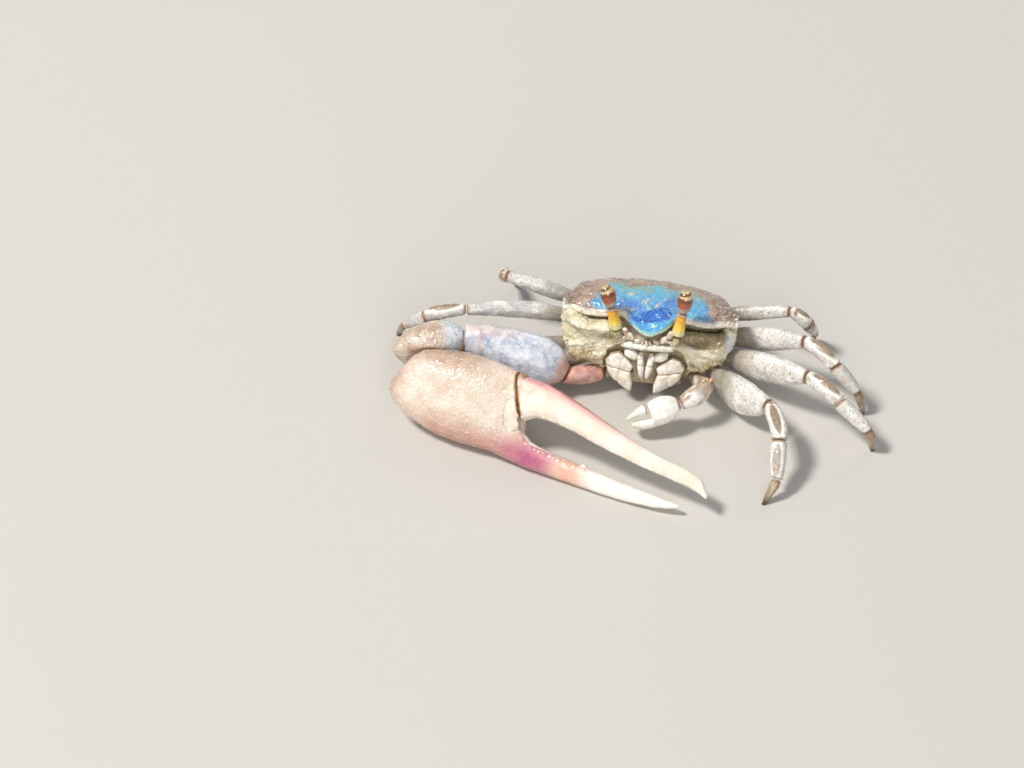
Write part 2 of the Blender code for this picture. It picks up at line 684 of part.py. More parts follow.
def edge_of(table, place, upper, face, power=0.85):
    """Where a finger's upper or lower side is at this place, at this part of its thickness."""
    low, high, thickness = read_table(table, place)
    rise = (high - low) / 2 * (1 - abs(2 * face) ** (2 / power)) ** (power / 2)
    return (low + high) / 2 + (rise if upper else -rise), thickness


PALM_TABLE = ((-7.75, -1.4, 0.1, 1.6), (-7.35, -1.9, 1.0, 2.8), (-6.8, -2.35, 2.0, 3.8),
              (-6.0, -2.95, 3.5, 4.6), (-4.7, -3.6, 4.6, 5.4), (-2.0, -4.3, 5.3, 6.0),
              (1.0, -4.6, 5.65, 5.9), (4.0, -4.5, 5.6, 5.1), (6.4, -4.4, 5.25, 4.0))
FINGER_TABLE = ((4.0, -4.3, -0.2, 4.0), (6.5, -4.55, 0.2, 3.7), (7.9, -4.7, 0.0, 3.3),
                (8.6, -4.77, -0.75, 3.1), (9.5, -4.86, -1.65, 2.9), (10.6, -4.95, -2.05, 2.7),
                (14.5, -5.0, -2.55, 2.3), (18.2, -5.1, -2.75, 2.1), (22.0, -5.1, -3.05, 1.8),
                (25.5, -4.8, -3.3, 1.5), (28.0, -4.3, -3.4, 1.0), (29.0, -3.85, -3.45, 0.5))
DACTYL_TABLE = ((9.9, 0.8, 5.0, 2.9), (11.7, 0.95, 4.65, 2.8), (14.6, 0.7, 3.9, 2.6),
                (17.6, 0.05, 3.1, 2.4), (20.5, -0.5, 2.35, 2.2), (23.5, -0.95, 1.7, 2.1),
                (26.1, -1.15, 1.2, 1.9),
                (28.3, -1.35, 1.0, 1.7), (30.0, -1.5, 0.5, 1.4), (31.0, -1.65, -0.15, 1.1),
                (31.8, -1.95, -1.4, 0.5))
HINGE_LINE = (HINGE_FOOT - HINGE_TOP).normalized()
HINGE_NORMAL = Vector((-HINGE_LINE.y, HINGE_LINE.x, 0))


def on_hinge(place_table, offset, sides, shrink=1.0):
    """A ring in the slanting plane where the large dactyl meets the palm."""
    low, high, thickness = place_table
    ring = hand_ring(0, low, high, thickness * shrink, sides)
    plane = HINGE_TOP + HINGE_NORMAL * offset
    return onto_plane(ring, Vector((1, 0, 0)), plane, HINGE_NORMAL)


def fingers_beads(table, first, last, pitch, upper, face, radius, rest_radius):
    """The row of tubercles along the biting edge of a finger, one of them a larger tooth at times."""
    made = []
    count = int((last - first) / pitch)
    for i in range(count):
        place = first + pitch * (i + 0.2 * math.sin(i * 2.3))
        edge, thickness = edge_of(table, place, upper, face)
        size = between(radius, rest_radius, i / count) * (1 + 0.18 * math.sin(i * 1.7))
        inwards = -0.3 * size if upper else 0.3 * size
        made.append(bead(Vector((place, edge + inwards, face * thickness)), size))
    return made


def wrist_joint():
    """The plane between the large claw's carpus and palm, in the hand's frame."""
    to_carpus = HAND_MATRIX.inverted() @ CARPUS_CENTRE - WRIST_ROOT
    way = to_carpus.normalized()
    return WRIST_ROOT + way * 2.3, way


CARPUS_CENTRE = Vector((-25.45, -3.6, 5.5))
CARPUS_SIZE = (4.45, 2.9, 2.7)
SHOULDER_DEPTH = 2.0
SHOULDER_WIDTH = 3.2
CARPUS_AXIS = Vector((-0.93, -0.3, -0.1))
WRIST_ROOT = Vector((-4.0, 1.5, -0.6))
ELBOW = Vector((-21.6, -3.05, 6.3))
BIG_ISCHIUM = (CHELA_HIPS["right"], Vector((-8.0, -5.2, 2.2)), Vector((-10.3, -5.2, 2.45)))
BIG_MERUS = (BIG_ISCHIUM[2], Vector((-12.6, -5.2, 5.6)), ELBOW)
SMALL_MERUS = (CHELA_HIPS["left"], Vector((5.6, -7.1, 2.1)), Vector((6.2, -8.6, 4.1)))
SMALL_CARPUS = (SMALL_MERUS[2], Vector((5.3, -10.4, 4.5)), Vector((2.75, -11.0, 3.55)))
CHELA_START = {"right": Vector((-1, -0.15, 0)), "left": Vector((0.2, -0.9, 0))}


def narrow_to(bm, point, way, radius):
    """Draw a piece in round an axis towards its joint, as a shell closes on its neck."""
    for vert in bm.verts:
        depth = (vert.co - point).dot(way)
        away = vert.co - point - way * depth
        t = min(max(depth / SHOULDER_DEPTH, 0), 1)
        room = radius + SHOULDER_WIDTH * math.sqrt(1 - (1 - t) ** 2)
        if depth < SHOULDER_DEPTH and away.length > room:
            vert.co -= away * (1 - room / away.length)


def build_large_claw():
    """The large claw: ischium, merus, carpus, the palm with its fixed finger, and the dactyl."""
    half = GAP / 2
    hip, way = CHELA_HIPS["right"], CHELA_START["right"].normalized()
    start = (hip + way * half, way)
    ischium = limb(BIG_ISCHIUM, ((0, 1.9, 1.9), (0.3, 2.4, 2.2), (0.7, 2.4, 2.2), (1, 1.9, 1.9)), UP,
                   start, joint(BIG_ISCHIUM, BIG_MERUS, -half), 12)
    finish(mesh_object("claw_large_ischium", ischium, PARTS), CRAB, CLAW_PINK, 0.4)

    lean = Vector((0, 0.64, 0.77))
    outward = Vector((-1, 0, 0.05)).normalized()
    stations = ((0, 1.9, 1.8), (0.06, 3.1, 2.3), (0.14, 4.4, 2.8), (0.25, 5.4, 3.1), (0.4, 5.7, 3.3),
                (0.58, 5.4, 3.3), (0.75, 4.9, 3.2), (0.9, 4.2, 2.9), (1, 3.2, 2.6))
    merus = limb(BIG_MERUS, stations, lean, joint(BIG_ISCHIUM, BIG_MERUS, half),
                 (ELBOW - outward * half, outward), 16)
    finish(mesh_object("claw_large_merus", merus, PARTS), CRAB, MERUS_BLUE, 0.4)

    turn = CARPUS_AXIS.to_track_quat("X", "Z").to_matrix().to_4x4()
    carpus = ball(CARPUS_CENTRE, CARPUS_SIZE, turn, 24, 16)
    plane, normal = wrist_joint()
    wrist, out = HAND_MATRIX @ (plane + normal * half), HAND_MATRIX.to_3x3() @ normal
    narrow_to(carpus, wrist, out, NECK_RADIUS)
    trim(carpus, ELBOW + outward * half, -outward)
    trim(carpus, wrist, -out)
    finish(mesh_object("claw_large_carpus", carpus, PARTS), CRAB, CLAW_BEIGE, 0.4)

    rings = hand_loft(PALM_TABLE, 15, 18)
    rings.append(on_hinge((-1.4, 5.15, 3.4), 0, 18))
    palm = mesh_object("claw_large_palm", loft(rings), PARTS)
    finger = mesh_object("finger", loft(hand_loft(FINGER_TABLE, 22, 12, 0.9, 1.4)), TOOLS)
    neck = cone(WRIST_ROOT, plane - normal * half, NECK_RADIUS + 0.5, NECK_RADIUS, 16)
    beads = fingers_beads(FINGER_TABLE, 9.2, 24.5, 0.62, True, 0.33, BEAD_RADIUS, 0.15)
    beads += fingers_beads(FINGER_TABLE, 10.4, 23.5, 0.95, True, -0.2, 0.2, 0.14)
    beads.append(bead(Vector((16.9, -2.72, 0.1)), 0.42))
    boolean(palm, [finger, mesh_object("neck", neck, TOOLS)] + beads, "UNION")
    bm = bmesh.new()
    bm.from_mesh(palm.data)
    trim(bm, plane - normal * half, normal)
    inverse = HAND_MATRIX.inverted()
    trim(bm, inverse @ Vector((0, 0, 0)), inverse.to_3x3() @ -UP)
    bmesh.ops.dissolve_degenerate(bm, dist=0.002, edges=bm.edges)
    bm.to_mesh(palm.data)
    bm.free()
    finish(palm, HAND, CLAW_BEIGE, 0.45)

    rings = [on_hinge((0.05, 5.1, 3.2), GAP, 14)] + hand_loft(DACTYL_TABLE, 24, 14, 0.85)
    dactyl = mesh_object("claw_large_dactyl", loft(rings), PARTS)
    beads = fingers_beads(DACTYL_TABLE, 11.0, 28.6, 0.72, False, 0.28, 0.2, 0.15)
    beads += fingers_beads(DACTYL_TABLE, 12.0, 26.0, 1.1, False, -0.2, 0.17, 0.14)
    boolean(dactyl, beads, "UNION")
    finish(dactyl, HAND, CLAW_IVORY, 0.35)


SMALL_PALM_TABLE = ((-2.1, -0.75, 0.75, 1.4), (-1.5, -1.25, 1.3, 2.0), (-0.4, -1.6, 1.65, 2.5),
                    (0.6, -1.65, 1.6, 2.4), (1.3, -1.55, 1.35, 2.1))
SMALL_FINGER_TABLE = ((0.4, -1.5, -0.5, 1.5), (1.6, -1.6, -0.45, 1.6), (2.6, -1.4, -0.25, 1.5),
                      (3.3, -1.1, -0.2, 1.2), (3.8, -0.7, -0.22, 0.7))
SMALL_DACTYL_TABLE = ((1.6, 0.05, 1.4, 1.9), (2.2, 0.1, 1.35, 1.7), (3.0, 0.1, 1.1, 1.5),
                      (3.7, 0.1, 0.8, 1.2), (4.1, 0.12, 0.5, 0.7))


def build_small_claw():
    """The small feeding claw: merus, carpus, the palm with its fixed finger, and the dactyl."""
    half = GAP / 2
    hip, way = CHELA_HIPS["left"], CHELA_START["left"].normalized()
    stations = ((0, 1.5, 1.5), (0.3, 1.8, 1.6), (0.6, 2.3, 1.8), (0.85, 2.1, 1.7), (1, 1.5, 1.4))
    merus = limb(SMALL_MERUS, stations, UP, (hip + way * half, way),
                 joint(SMALL_MERUS, SMALL_CARPUS, -half), 10)
    finish(mesh_object("claw_small_merus", merus, PARTS), CRAB, CLAW_WHITE, 0.4)
    wrist = SMALL_HAND_MATRIX @ Vector((-2.1, 0, 0))
    way = SMALL_HEADING
    stations = ((0, 1.4, 1.3), (0.15, 2.0, 1.7), (0.45, 2.5, 2.1), (0.75, 2.3, 2.0), (1, 1.5, 1.4))
    carpus = limb(SMALL_CARPUS[:2] + (wrist - way * half * 2,), stations, Vector((0, 0.6, 0.8)),
                  joint(SMALL_MERUS, SMALL_CARPUS, half), (wrist - way * half * 2, way), 12)
    finish(mesh_object("claw_small_carpus", carpus, PARTS), CRAB, CLAW_WHITE, 0.4)
    palm = mesh_object("claw_small_palm", loft(hand_loft(SMALL_PALM_TABLE, 8, 14)), PARTS)
    finger = mesh_object("finger", loft(hand_loft(SMALL_FINGER_TABLE, 8, 10)), TOOLS)
    boolean(palm, [finger], "UNION")
    finish(palm, SMALL_HAND, CLAW_WHITE, 0.35)
    dactyl = mesh_object("claw_small_dactyl", loft(hand_loft(SMALL_DACTYL_TABLE, 7, 10)), PARTS)
    finish(dactyl, SMALL_HAND, CLAW_WHITE, 0.35)


def leg_stations(size, slim):
    """The stations of a leg's segments: (place, width, thickness), the merus as broad as size."""
    return {
        "merus": ((0, 1.5 * slim, 1.5 * slim), (0.12, 1.6 * slim, 1.4 * slim),
                  (0.3, 0.82 * size, 1.5 * slim), (0.5, size, 1.75 * slim), (0.7, 0.98 * size, 1.75 * slim),
                  (0.87, 0.8 * size, 1.6 * slim), (1, 1.6 * slim, 1.4 * slim)),
        "carpus": ((0, 1.5 * slim, 1.3 * slim), (0.15, 1.8 * slim, 1.45 * slim),
                   (0.55, 2.0 * slim, 1.5 * slim), (0.87, 1.95 * slim, 1.45 * slim),
                   (1, 1.75 * slim, 1.35 * slim)),
        "propodus": ((0, 1.7 * slim, 1.3 * slim), (0.18, 1.88 * slim, 1.35 * slim),
                     (0.55, 1.75 * slim, 1.25 * slim), (0.87, 1.45 * slim, 1.1 * slim),
                     (1, 1.15 * slim, slim)),
        "dactyl": ((0, 1.0 * slim, 0.9 * slim), (0.2, 1.1 * slim, slim), (0.55, 0.9 * slim, 0.8 * slim),
                   (0.85, 0.68, 0.62), (1, 0.55, 0.5)),
    }


def build_leg(side, number):
    """A walking leg: merus with its ischium, carpus, propodus and the dactyl on its flat toe."""
    hip, pull, knee, wrist, heel, toe = (Vector(p) for p in LEGS[side, number])
    size = MERUS_WIDTHS[side, number]
    slim = between(0.85, 1.1, smooth_step(1.7, 4.0, size))
    half = GAP / 2
    arch = UP * 0.5
    over_knee = arch + (knee - pull).normalized() * 0.22 * (wrist - knee).length
    bow = (toe - wrist).cross(UP).cross(toe - heel).normalized() * 0.3
    paths = {
        "merus": (hip, pull, knee),
        "carpus": (knee, (knee + wrist) / 2 + over_knee, wrist),
        "propodus": (wrist, (wrist + heel) / 2 + arch * 0.6, heel),
        "dactyl": (heel, (heel + toe) / 2 + bow, toe),
    }
    stations = leg_stations(size, slim)
    first = (pull - hip).normalized()
    names = list(paths)
    for i, segment in enumerate(names):
        start = (hip + first * half, first) if i == 0 else joint(paths[names[i - 1]], paths[segment], half)
        end = (toe, UP) if i == 3 else joint(paths[segment], paths[names[i + 1]], -half)
        turned_flat = (side, number) in SIDE_ON and segment != "merus"
        lean = SIDE_ON_LEAN if turned_flat else LEG_LEAN
        made = limb(paths[segment], stations[segment], lean, start, end, 10)
        colour = DACTYL_HORN if segment == "dactyl" else LEG_GREY
        finish(mesh_object(f"leg_{side}_{number}_{segment}", made, PARTS), CRAB, colour, 0.45)


def stand_on_origin():
    """Move the whole crab so that its box stands centred on the origin."""
    bpy.context.view_layer.update()
    meshes = [obj for obj in PARTS.objects if obj.type == "MESH"]
    corners = [obj.matrix_world @ vert.co for obj in meshes for vert in obj.data.vertices]
    low = Vector(min(c[i] for c in corners) for i in range(3))
    high = Vector(max(c[i] for c in corners) for i in range(3))
    CRAB.location = Vector((-(low.x + high.x) / 2, -(low.y + high.y) / 2, -low.z))
    bpy.context.view_layer.update()


clear_scene()
PARTS = new_collection("Fiddler crab")
TOOLS = new_collection("Cutters")
TOOLS.hide_render = True
BODY_MATRIX = Matrix.Translation(BODY_CENTRE) @ BODY_TILT.to_matrix().to_4x4()
HAND_MATRIX = hand_frame(CLAW_CENTRE, CLAW_HEADING, CLAW_RISE, 1)
SMALL_HAND_MATRIX = hand_frame(SMALL_CENTRE, SMALL_HEADING, math.radians(50), -1)
CRAB = new_empty("crab")
BODY = new_empty("body frame", CRAB, BODY_MATRIX)
HAND = new_empty("large hand frame", CRAB, HAND_MATRIX)
SMALL_HAND = new_empty("small hand frame", CRAB, SMALL_HAND_MATRIX)
build_carapace()
build_face()
build_sternum()
build_abdomen()
build_mouth()
build_eyes()
build_antennae()
build_large_claw()
build_small_claw()
for leg in LEGS:
    build_leg(*leg)
stand_on_origin()
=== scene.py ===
"""A life-size fiddler crab: its shell finely surfaced and painted, with joint skins, teeth and bristles."""

import math

import bmesh
import bpy
import numpy as np
from mathutils import Euler, Matrix, Vector, noise
from mathutils.bvhtree import BVHTree
from mathutils.kdtree import KDTree


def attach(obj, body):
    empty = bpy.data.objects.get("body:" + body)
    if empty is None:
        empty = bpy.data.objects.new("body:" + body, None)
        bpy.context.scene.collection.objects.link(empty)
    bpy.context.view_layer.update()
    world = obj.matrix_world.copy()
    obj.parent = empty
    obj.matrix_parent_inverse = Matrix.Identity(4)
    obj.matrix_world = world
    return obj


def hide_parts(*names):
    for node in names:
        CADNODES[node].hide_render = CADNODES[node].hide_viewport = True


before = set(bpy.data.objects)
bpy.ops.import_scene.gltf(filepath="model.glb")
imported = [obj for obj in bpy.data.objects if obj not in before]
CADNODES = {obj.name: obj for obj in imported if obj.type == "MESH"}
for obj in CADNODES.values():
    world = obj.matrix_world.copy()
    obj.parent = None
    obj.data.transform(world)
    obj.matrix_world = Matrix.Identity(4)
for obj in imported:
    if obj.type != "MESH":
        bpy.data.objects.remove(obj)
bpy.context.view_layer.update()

MM = 0.001
ROOT = "root"
UP = Vector((0, 0, 1))

# The body's own frame, in millimetres: -Y ahead, Z square to the shell
TOE_NODE = "leg_left_2_dactyl"
TOE_FROM_BODY = Vector((24.7, -14.8, 0))
TOE_FLAT_TOP = 0.01
BODY_CENTRE = Vector((-0.25, 0, 8.5))
BODY_TILT = Euler((math.radians(-15), math.radians(4.5), math.radians(-4.5)))

# The large hand's frame: X along the fingers, Y up across the palm, Z square to its faces
HAND_CENTRE = Vector((-22.6, -10.7, 4.1))
HAND_HEADING = Vector((0.907, -0.4215, 0)).normalized()
HAND_RISE = math.radians(50)

# The photograph's view
FIELD_WIDTH = 116.4
VIEW_DISTANCE = 1000.0
VIEW_RISE = math.radians(45)
VIEW_TARGET = Vector((-16.14, -8.38, 4.2))

SIDES = (("left", 1), ("right", -1))
LEG_SEGMENTS = ("merus", "carpus", "propodus", "dactyl")
SMALL_CLAW_SEGMENTS = ("merus", "carpus", "palm", "dactyl")
LEGS = [(side, number) for side in ("left", "right") for number in (1, 2, 3, 4)]
JOINT_BAND = 0.22
RANDOM = np.random.default_rng(11)


# Places and patterns

def node_points(node):
    """A CAD node's corners in millimetres."""
    return np.array([v.co for v in CADNODES[node].data.vertices], float) / MM


def body_origin():
    """Where the middle of the crab stands, found from the flat of one toe."""
    points = node_points(TOE_NODE)
    foot = points[points[:, 2] < TOE_FLAT_TOP].mean(axis=0)
    return Vector((foot[0], foot[1], 0)) - TOE_FROM_BODY


def hand_frame():
    """The large hand's frame, turned and placed in the world."""
    along = HAND_HEADING
    across = UP.cross(along) * math.cos(HAND_RISE) + UP * math.sin(HAND_RISE)
    across = (across - along * across.dot(along)).normalized()
    turn = Matrix((along, across, along.cross(across))).transposed().to_4x4()
    return Matrix.Translation(CRAB_AT + HAND_CENTRE) @ turn


CRAB_AT = body_origin()
BODY_FRAME = Matrix.Translation(CRAB_AT + BODY_CENTRE) @ BODY_TILT.to_matrix().to_4x4()
HAND_FRAME = hand_frame()


def within(points, matrix):
    """Points in millimetres, given in a frame of the crab's."""
    inverse = np.array(matrix.inverted())
    return points @ inverse[:3, :3].T + inverse[:3, 3]


def in_body(points):
    """Points in the body's frame as x, forward, height."""
    local = within(points, BODY_FRAME)
    return local[:, 0], -local[:, 1], local[:, 2]


def bump(value, centre, width):
    """1 at the centre, falling smoothly to 0 on both sides."""
    return np.exp(-(((value - centre) / width) ** 2))


def step(value, low, high):
    """Eased from 0 at low to 1 at high."""
    t = np.clip((value - low) / (high - low), 0, 1)
    return t * t * (3 - 2 * t)


def fade(value, low, high):
    """Eased from 1 at low to 0 at high."""
    return 1 - step(value, low, high)


def inside_of(outline, u, v, soft):
    """How far inside a closed outline each place lies, eased from 0 to 1 over this width."""
    corners = np.array(outline, float)
    away = np.full(len(u), np.inf)
    inside = np.zeros(len(u), bool)
    for a, b in zip(corners, np.roll(corners, -1, axis=0)):
        away = np.minimum(away, from_line(u, v, a, b))
        if a[1] != b[1]:
            crosses = (a[1] > v) != (b[1] > v)
            meets = a[0] + (v - a[1]) / (b[1] - a[1]) * (b[0] - a[0])
            inside ^= crosses & (u < meets)
    return step(np.where(inside, away, -away), -soft / 2, soft / 2)


def from_line(u, v, start, end):
    """The distance of each place from a straight line between two places."""
    start, end = np.array(start, float), np.array(end, float)
    place = np.stack([u, v], axis=1) - start
    along = np.clip(place @ (end - start) / ((end - start) @ (end - start)), 0, 1)
    return np.linalg.norm(place - along[:, None] * (end - start), axis=1)


def distance_to(targets, points):
    """How far each point lies from the nearest of the targets."""
    tree = KDTree(len(targets))
    for i, target in enumerate(targets):
        tree.insert(target, i)
    tree.balance()
    return np.array([tree.find(point)[2] for point in points])


def grain(points, scale, seed=0.0):
    """Smooth noise from -1 to 1 at points in millimetres, one swell per scale."""
    shift = Vector((seed, seed * 1.7, -seed))
    return np.array([noise.noise(Vector(p) / scale + shift) for p in points])


def cracks(points, scale, seed=0.0):
    """Meandering creases: 0 on the flats, 1 in the deepest of them."""
    swells = grain(points, scale, seed) + 0.35 * grain(points, scale * 0.4, seed + 3)
    return np.clip(1 - 5 * np.abs(swells), 0, 1)


# Making pieces

WELD = 0.002
SUBDIVISIONS = 3
SMOOTHING = 0.5


def deselect():
    for obj in bpy.context.selected_objects:
        obj.select_set(False)


def activate(obj):
    deselect()
    obj.select_set(True)
    bpy.context.view_layer.objects.active = obj


def add_object(name, data):
    obj = bpy.data.objects.new(name, data)
    bpy.context.scene.collection.objects.link(obj)
    return obj


def apply_modifiers(obj):
    activate(obj)
    for modifier in list(obj.modifiers):
        bpy.ops.object.modifier_apply(modifier=modifier.name)


def read_points(obj, what):
    values = np.empty(len(obj.data.vertices) * 3)
    obj.data.vertices.foreach_get(what, values)
    return values.reshape(-1, 3)


def points_of(obj):
    return read_points(obj, "co")


def normals_of(obj):
    return read_points(obj, "normal")


def facing(obj):
    """The way each point of a piece faces, in the body's frame."""
    points = points_of(obj)
    return within(points + normals_of(obj), BODY_FRAME) - within(points, BODY_FRAME)


def move_points(obj, points):
    obj.data.vertices.foreach_set("co", points.reshape(-1))
    obj.data.update()


def raise_by(obj, heights):
    """Move each point along its normal by a height in millimetres."""
    move_points(obj, points_of(obj) + normals_of(obj) * np.asarray(heights)[:, None])


def masks(obj, numbers):
    """Numbers from 0 to 1 at each point, for the piece's material to read by name."""
    for name, values in numbers.items():
        attribute = obj.data.attributes.new(name, "FLOAT", "POINT")
        attribute.data.foreach_set("value", np.clip(values, 0, 1).astype(np.float32))


def copy_of(node, name):
    """A node's mesh as a new object in millimetres, welded, in quads where its triangles pair up."""
    mesh = CADNODES[node].data.copy()
    mesh.name = name
    mesh.materials.clear()
    mesh.transform(Matrix.Scale(1 / MM, 4))
    bm = bmesh.new()
    bm.from_mesh(mesh)
    bmesh.ops.remove_doubles(bm, verts=bm.verts, dist=WELD)
    bmesh.ops.join_triangles(bm, faces=bm.faces, angle_face_threshold=math.radians(30),
                             angle_shape_threshold=math.radians(60))
    bm.to_mesh(mesh)
    bm.free()
    return add_object(name, mesh)


def crease_rims(obj, amount, angle=50):
    """Hold the rims of a piece that are sharper than this when it is subdivided."""
    bm = bmesh.new()
    bm.from_mesh(obj.data)
    layer = bm.edges.layers.float.get("crease_edge") or bm.edges.layers.float.new("crease_edge")
    for edge in bm.edges:
        if len(edge.link_faces) == 2 and edge.calc_face_angle() > math.radians(angle):
            edge[layer] = amount
    bm.to_mesh(obj.data)
    bm.free()


def rounded(node, name, crease=0.75):
    """A lofted node made fine by subdivision, and its points."""
    obj = copy_of(node, name)
    crease_rims(obj, crease)
    modifier = obj.modifiers.new("Finer", "SUBSURF")
    modifier.levels = modifier.render_levels = SUBDIVISIONS
    apply_modifiers(obj)
    return obj, points_of(obj)


def remeshed(node, name, voxel, passes):
    """A node joined from several shapes, made one fine even skin and smoothed, and its points."""
    obj = copy_of(node, name)
    modifier = obj.modifiers.new("Skin", "REMESH")
    modifier.mode = "VOXEL"
    modifier.voxel_size = voxel
    modifier = obj.modifiers.new("Ease", "SMOOTH")
    modifier.factor = SMOOTHING
    modifier.iterations = passes
    apply_modifiers(obj)
    return obj, points_of(obj)


def finished(obj, finish, slot, *nodes, **numbers):
    """Mask, scale to metres, shade and paint a piece; let it ride on the body and stand for its nodes."""
    masks(obj, numbers)
    obj.data.transform(Matrix.Scale(MM, 4))
    obj.data.materials.clear()
    obj.data.materials.append(finish)
    obj.data.shade_smooth()
    obj.data.set_sharp_from_angle(angle=math.radians(60))
    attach(obj, ROOT)
    if nodes:
        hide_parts(*nodes)


# Materials

# The colour sockets of a Mix node, which share their names with its number sockets
COLOUR_A, COLOUR_B, COLOUR_RESULT = 6, 7, 2
SCATTER_SIZE = 0.5


def linear(code):
    """A #RRGGBB colour as linear light."""
    parts = [int(code[i:i + 2], 16) / 255 for i in (1, 3, 5)]
    return tuple(p / 12.92 if p <= 0.04045 else ((p + 0.055) / 1.055) ** 2.4 for p in parts) + (1.0,)


class Finish:
    """A painted and glazed surface, put together from patterns in millimetres."""

    def __init__(self, name, wide=None, fine=None, first=None, second=None, low=0.35, high=0.65):
        self.material = bpy.data.materials.new(name)
        self.material.use_nodes = True
        self.tree = self.material.node_tree
        self.relief = None
        place = self.node("ShaderNodeTexCoord", {}, "Object")
        self.place = self.node("ShaderNodeMapping", {"Vector": place, "Scale": (1 / MM,) * 3}, "Vector")
        self.wide = self.swell(*wide) if wide else None
        self.fine = self.swell(*fine) if fine else None
        self.colour = self.mottle(self.wide, first, second, low, high) if second else first

    def put(self, socket, value):
        if isinstance(value, bpy.types.NodeSocket):
            self.tree.links.new(value, socket)
        else:
            socket.default_value = linear(value) if isinstance(value, str) else value

    def node(self, kind, inputs, output, **settings):
        """Add a shader node, fill its inputs and give back one of its outputs."""
        node = self.tree.nodes.new(kind)
        for name, value in settings.items():
            setattr(node, name, value)
        for socket, value in inputs.items():
            self.put(node.inputs[socket], value)
        return node.outputs[output]

    def swell(self, size, detail=3.0, roughness=0.55, warp=0.0):
        """Cloudy noise whose swells are this many millimetres apart."""
        inputs = {"Vector": self.place, "Scale": 1 / size, "Detail": detail, "Roughness": roughness,
                  "Distortion": warp}
        return self.node("ShaderNodeTexNoise", inputs, "Fac")

    def cells(self, size, feature="F1"):
        """Distance in a cellular pattern whose cells are this many millimetres across."""
        inputs = {"Vector": self.place, "Scale": 1 / size}
        return self.node("ShaderNodeTexVoronoi", inputs, "Distance", feature=feature)

    def mask(self, name):
        return self.node("ShaderNodeAttribute", {}, "Fac", attribute_name=name)

    def maths(self, operation, a, b):
        return self.node("ShaderNodeMath", {0: a, 1: b}, "Value", operation=operation)

    def ease(self, value, low, high, start=0.0, end=1.0):
        """A value eased from start to end as it passes from low to high."""
        inputs = {"Value": value, "From Min": low, "From Max": high, "To Min": start, "To Max": end}
        return self.node("ShaderNodeMapRange", inputs, "Result", interpolation_type="SMOOTHSTEP")

    def blend(self, share, first, second, mode="MIX"):
        inputs = {"Factor": share, COLOUR_A: first, COLOUR_B: second}
        return self.node("ShaderNodeMix", inputs, COLOUR_RESULT, data_type="RGBA", blend_type=mode)

    def mottle(self, pattern, first, second, low=0.4, high=0.6):
        """Two colours parted by a pattern."""
        return self.blend(self.ease(pattern, low, high), first, second)

    def lay(self, share, colour):
        """Lay a colour over what is there."""
        self.colour = self.blend(share, self.colour, colour)

    def paint(self, **colours):
        """Lay each colour over what is there, by the mask of its name."""
        for name, colour in colours.items():
            self.lay(self.mask(name), colour)

    def emboss(self, height, depth, strength=1.0):
        """Add a relief of this depth in millimetres."""
        inputs = {"Strength": strength, "Distance": depth * MM, "Height": height}
        if self.relief:
            inputs["Normal"] = self.relief
        self.relief = self.node("ShaderNodeBump", inputs, "Normal")

    def done(self, roughness, coat=0.0, coat_roughness=0.15, scatter=0.0):
        """Set the shader and return the material."""
        inputs = {"Base Color": self.colour, "Roughness": roughness, "Coat Weight": coat,
                  "Coat Roughness": coat_roughness, "Subsurface Weight": scatter,
                  "Subsurface Scale": SCATTER_SIZE * MM}
        if self.relief:
            inputs |= {"Normal": self.relief, "Coat Normal": self.relief}
        for socket, value in inputs.items():
            self.put(self.tree.nodes["Principled BSDF"].inputs[socket], value)
        return self.material


def shell_finish():
    """The back: cyan and royal blue in the middle, wet mottled tan at the sides, a cream rim."""
    f = Finish("painted back shell", (1.6, 4), (0.3, 4), "#B59B88", "#917864")
    wide, fine, cloudy = f.wide, f.fine, f.swell(0.8, 4, 0.6, 0.6)
    f.lay(f.ease(cloudy, 0.5, 0.66, 0, 0.8), "#CFB8AC")
    f.lay(f.ease(f.swell(0.45, 5), 0.58, 0.7, 0, 0.75), "#6A5542")
    tan = f.colour
    f.colour = f.mottle(cloudy, "#72B4D8", "#4E94CA", 0.35, 0.65)
    lobe = f.mottle(fine, "#459AD4", "#66B6E0", 0.35, 0.65)
    f.paint(behind=f.mottle(wide, "#4FB6DA", "#8AAC98", 0.35, 0.62),
            royal=f.mottle(fine, "#4276C6", "#5C8ED0", 0.35, 0.65),
            saddle=f.mottle(cloudy, "#1F54B0", "#2F6CC2", 0.35, 0.62),
            lobe=f.blend(f.mask("lobe_rim"), lobe, "#BCDCB8"))
    f.lay(f.ease(f.swell(0.7, 5, 0.6, 1.0), 0.5, 0.7, 0, 0.45), "#94C6DC")
    flecks = f.ease(f.swell(0.55, 4, 0.6, 1.3), 0.60, 0.67, 0, 0.85)
    f.lay(f.maths("MULTIPLY", flecks, f.mask("flecked")), "#C3C4A4")
    f.lay(f.ease(fine, 0.64, 0.72, 0, 0.5), "#2C4F78")
    field = f.maths("MULTIPLY", f.mask("blue"), 1.35)
    blotch = f.maths("ADD", field, f.ease(cloudy, 0.3, 0.7, -0.35, 0.35))
    f.colour = f.blend(f.ease(blotch, 0.25, 0.95), tan, f.colour)
    rim = f.mottle(cloudy, "#F0EADB", "#D9CCBC")
    f.paint(streak=f.mottle(fine, "#DED6B2", "#BFB893"), rim=f.mottle(fine, rim, "#A89478", 0.62, 0.74))
    # Painted shade: the low mask darkens the creases of the rough sides
    f.paint(low=f.blend(0.55, f.colour, "#3E3226", "MULTIPLY"))
    f.emboss(f.cells(0.26), 0.1, 0.9)
    f.emboss(fine, 0.05, 0.5)
    return f.done(f.ease(fine, 0.3, 0.7, 0.12, 0.32), 0.8, 0.06, 0.05)


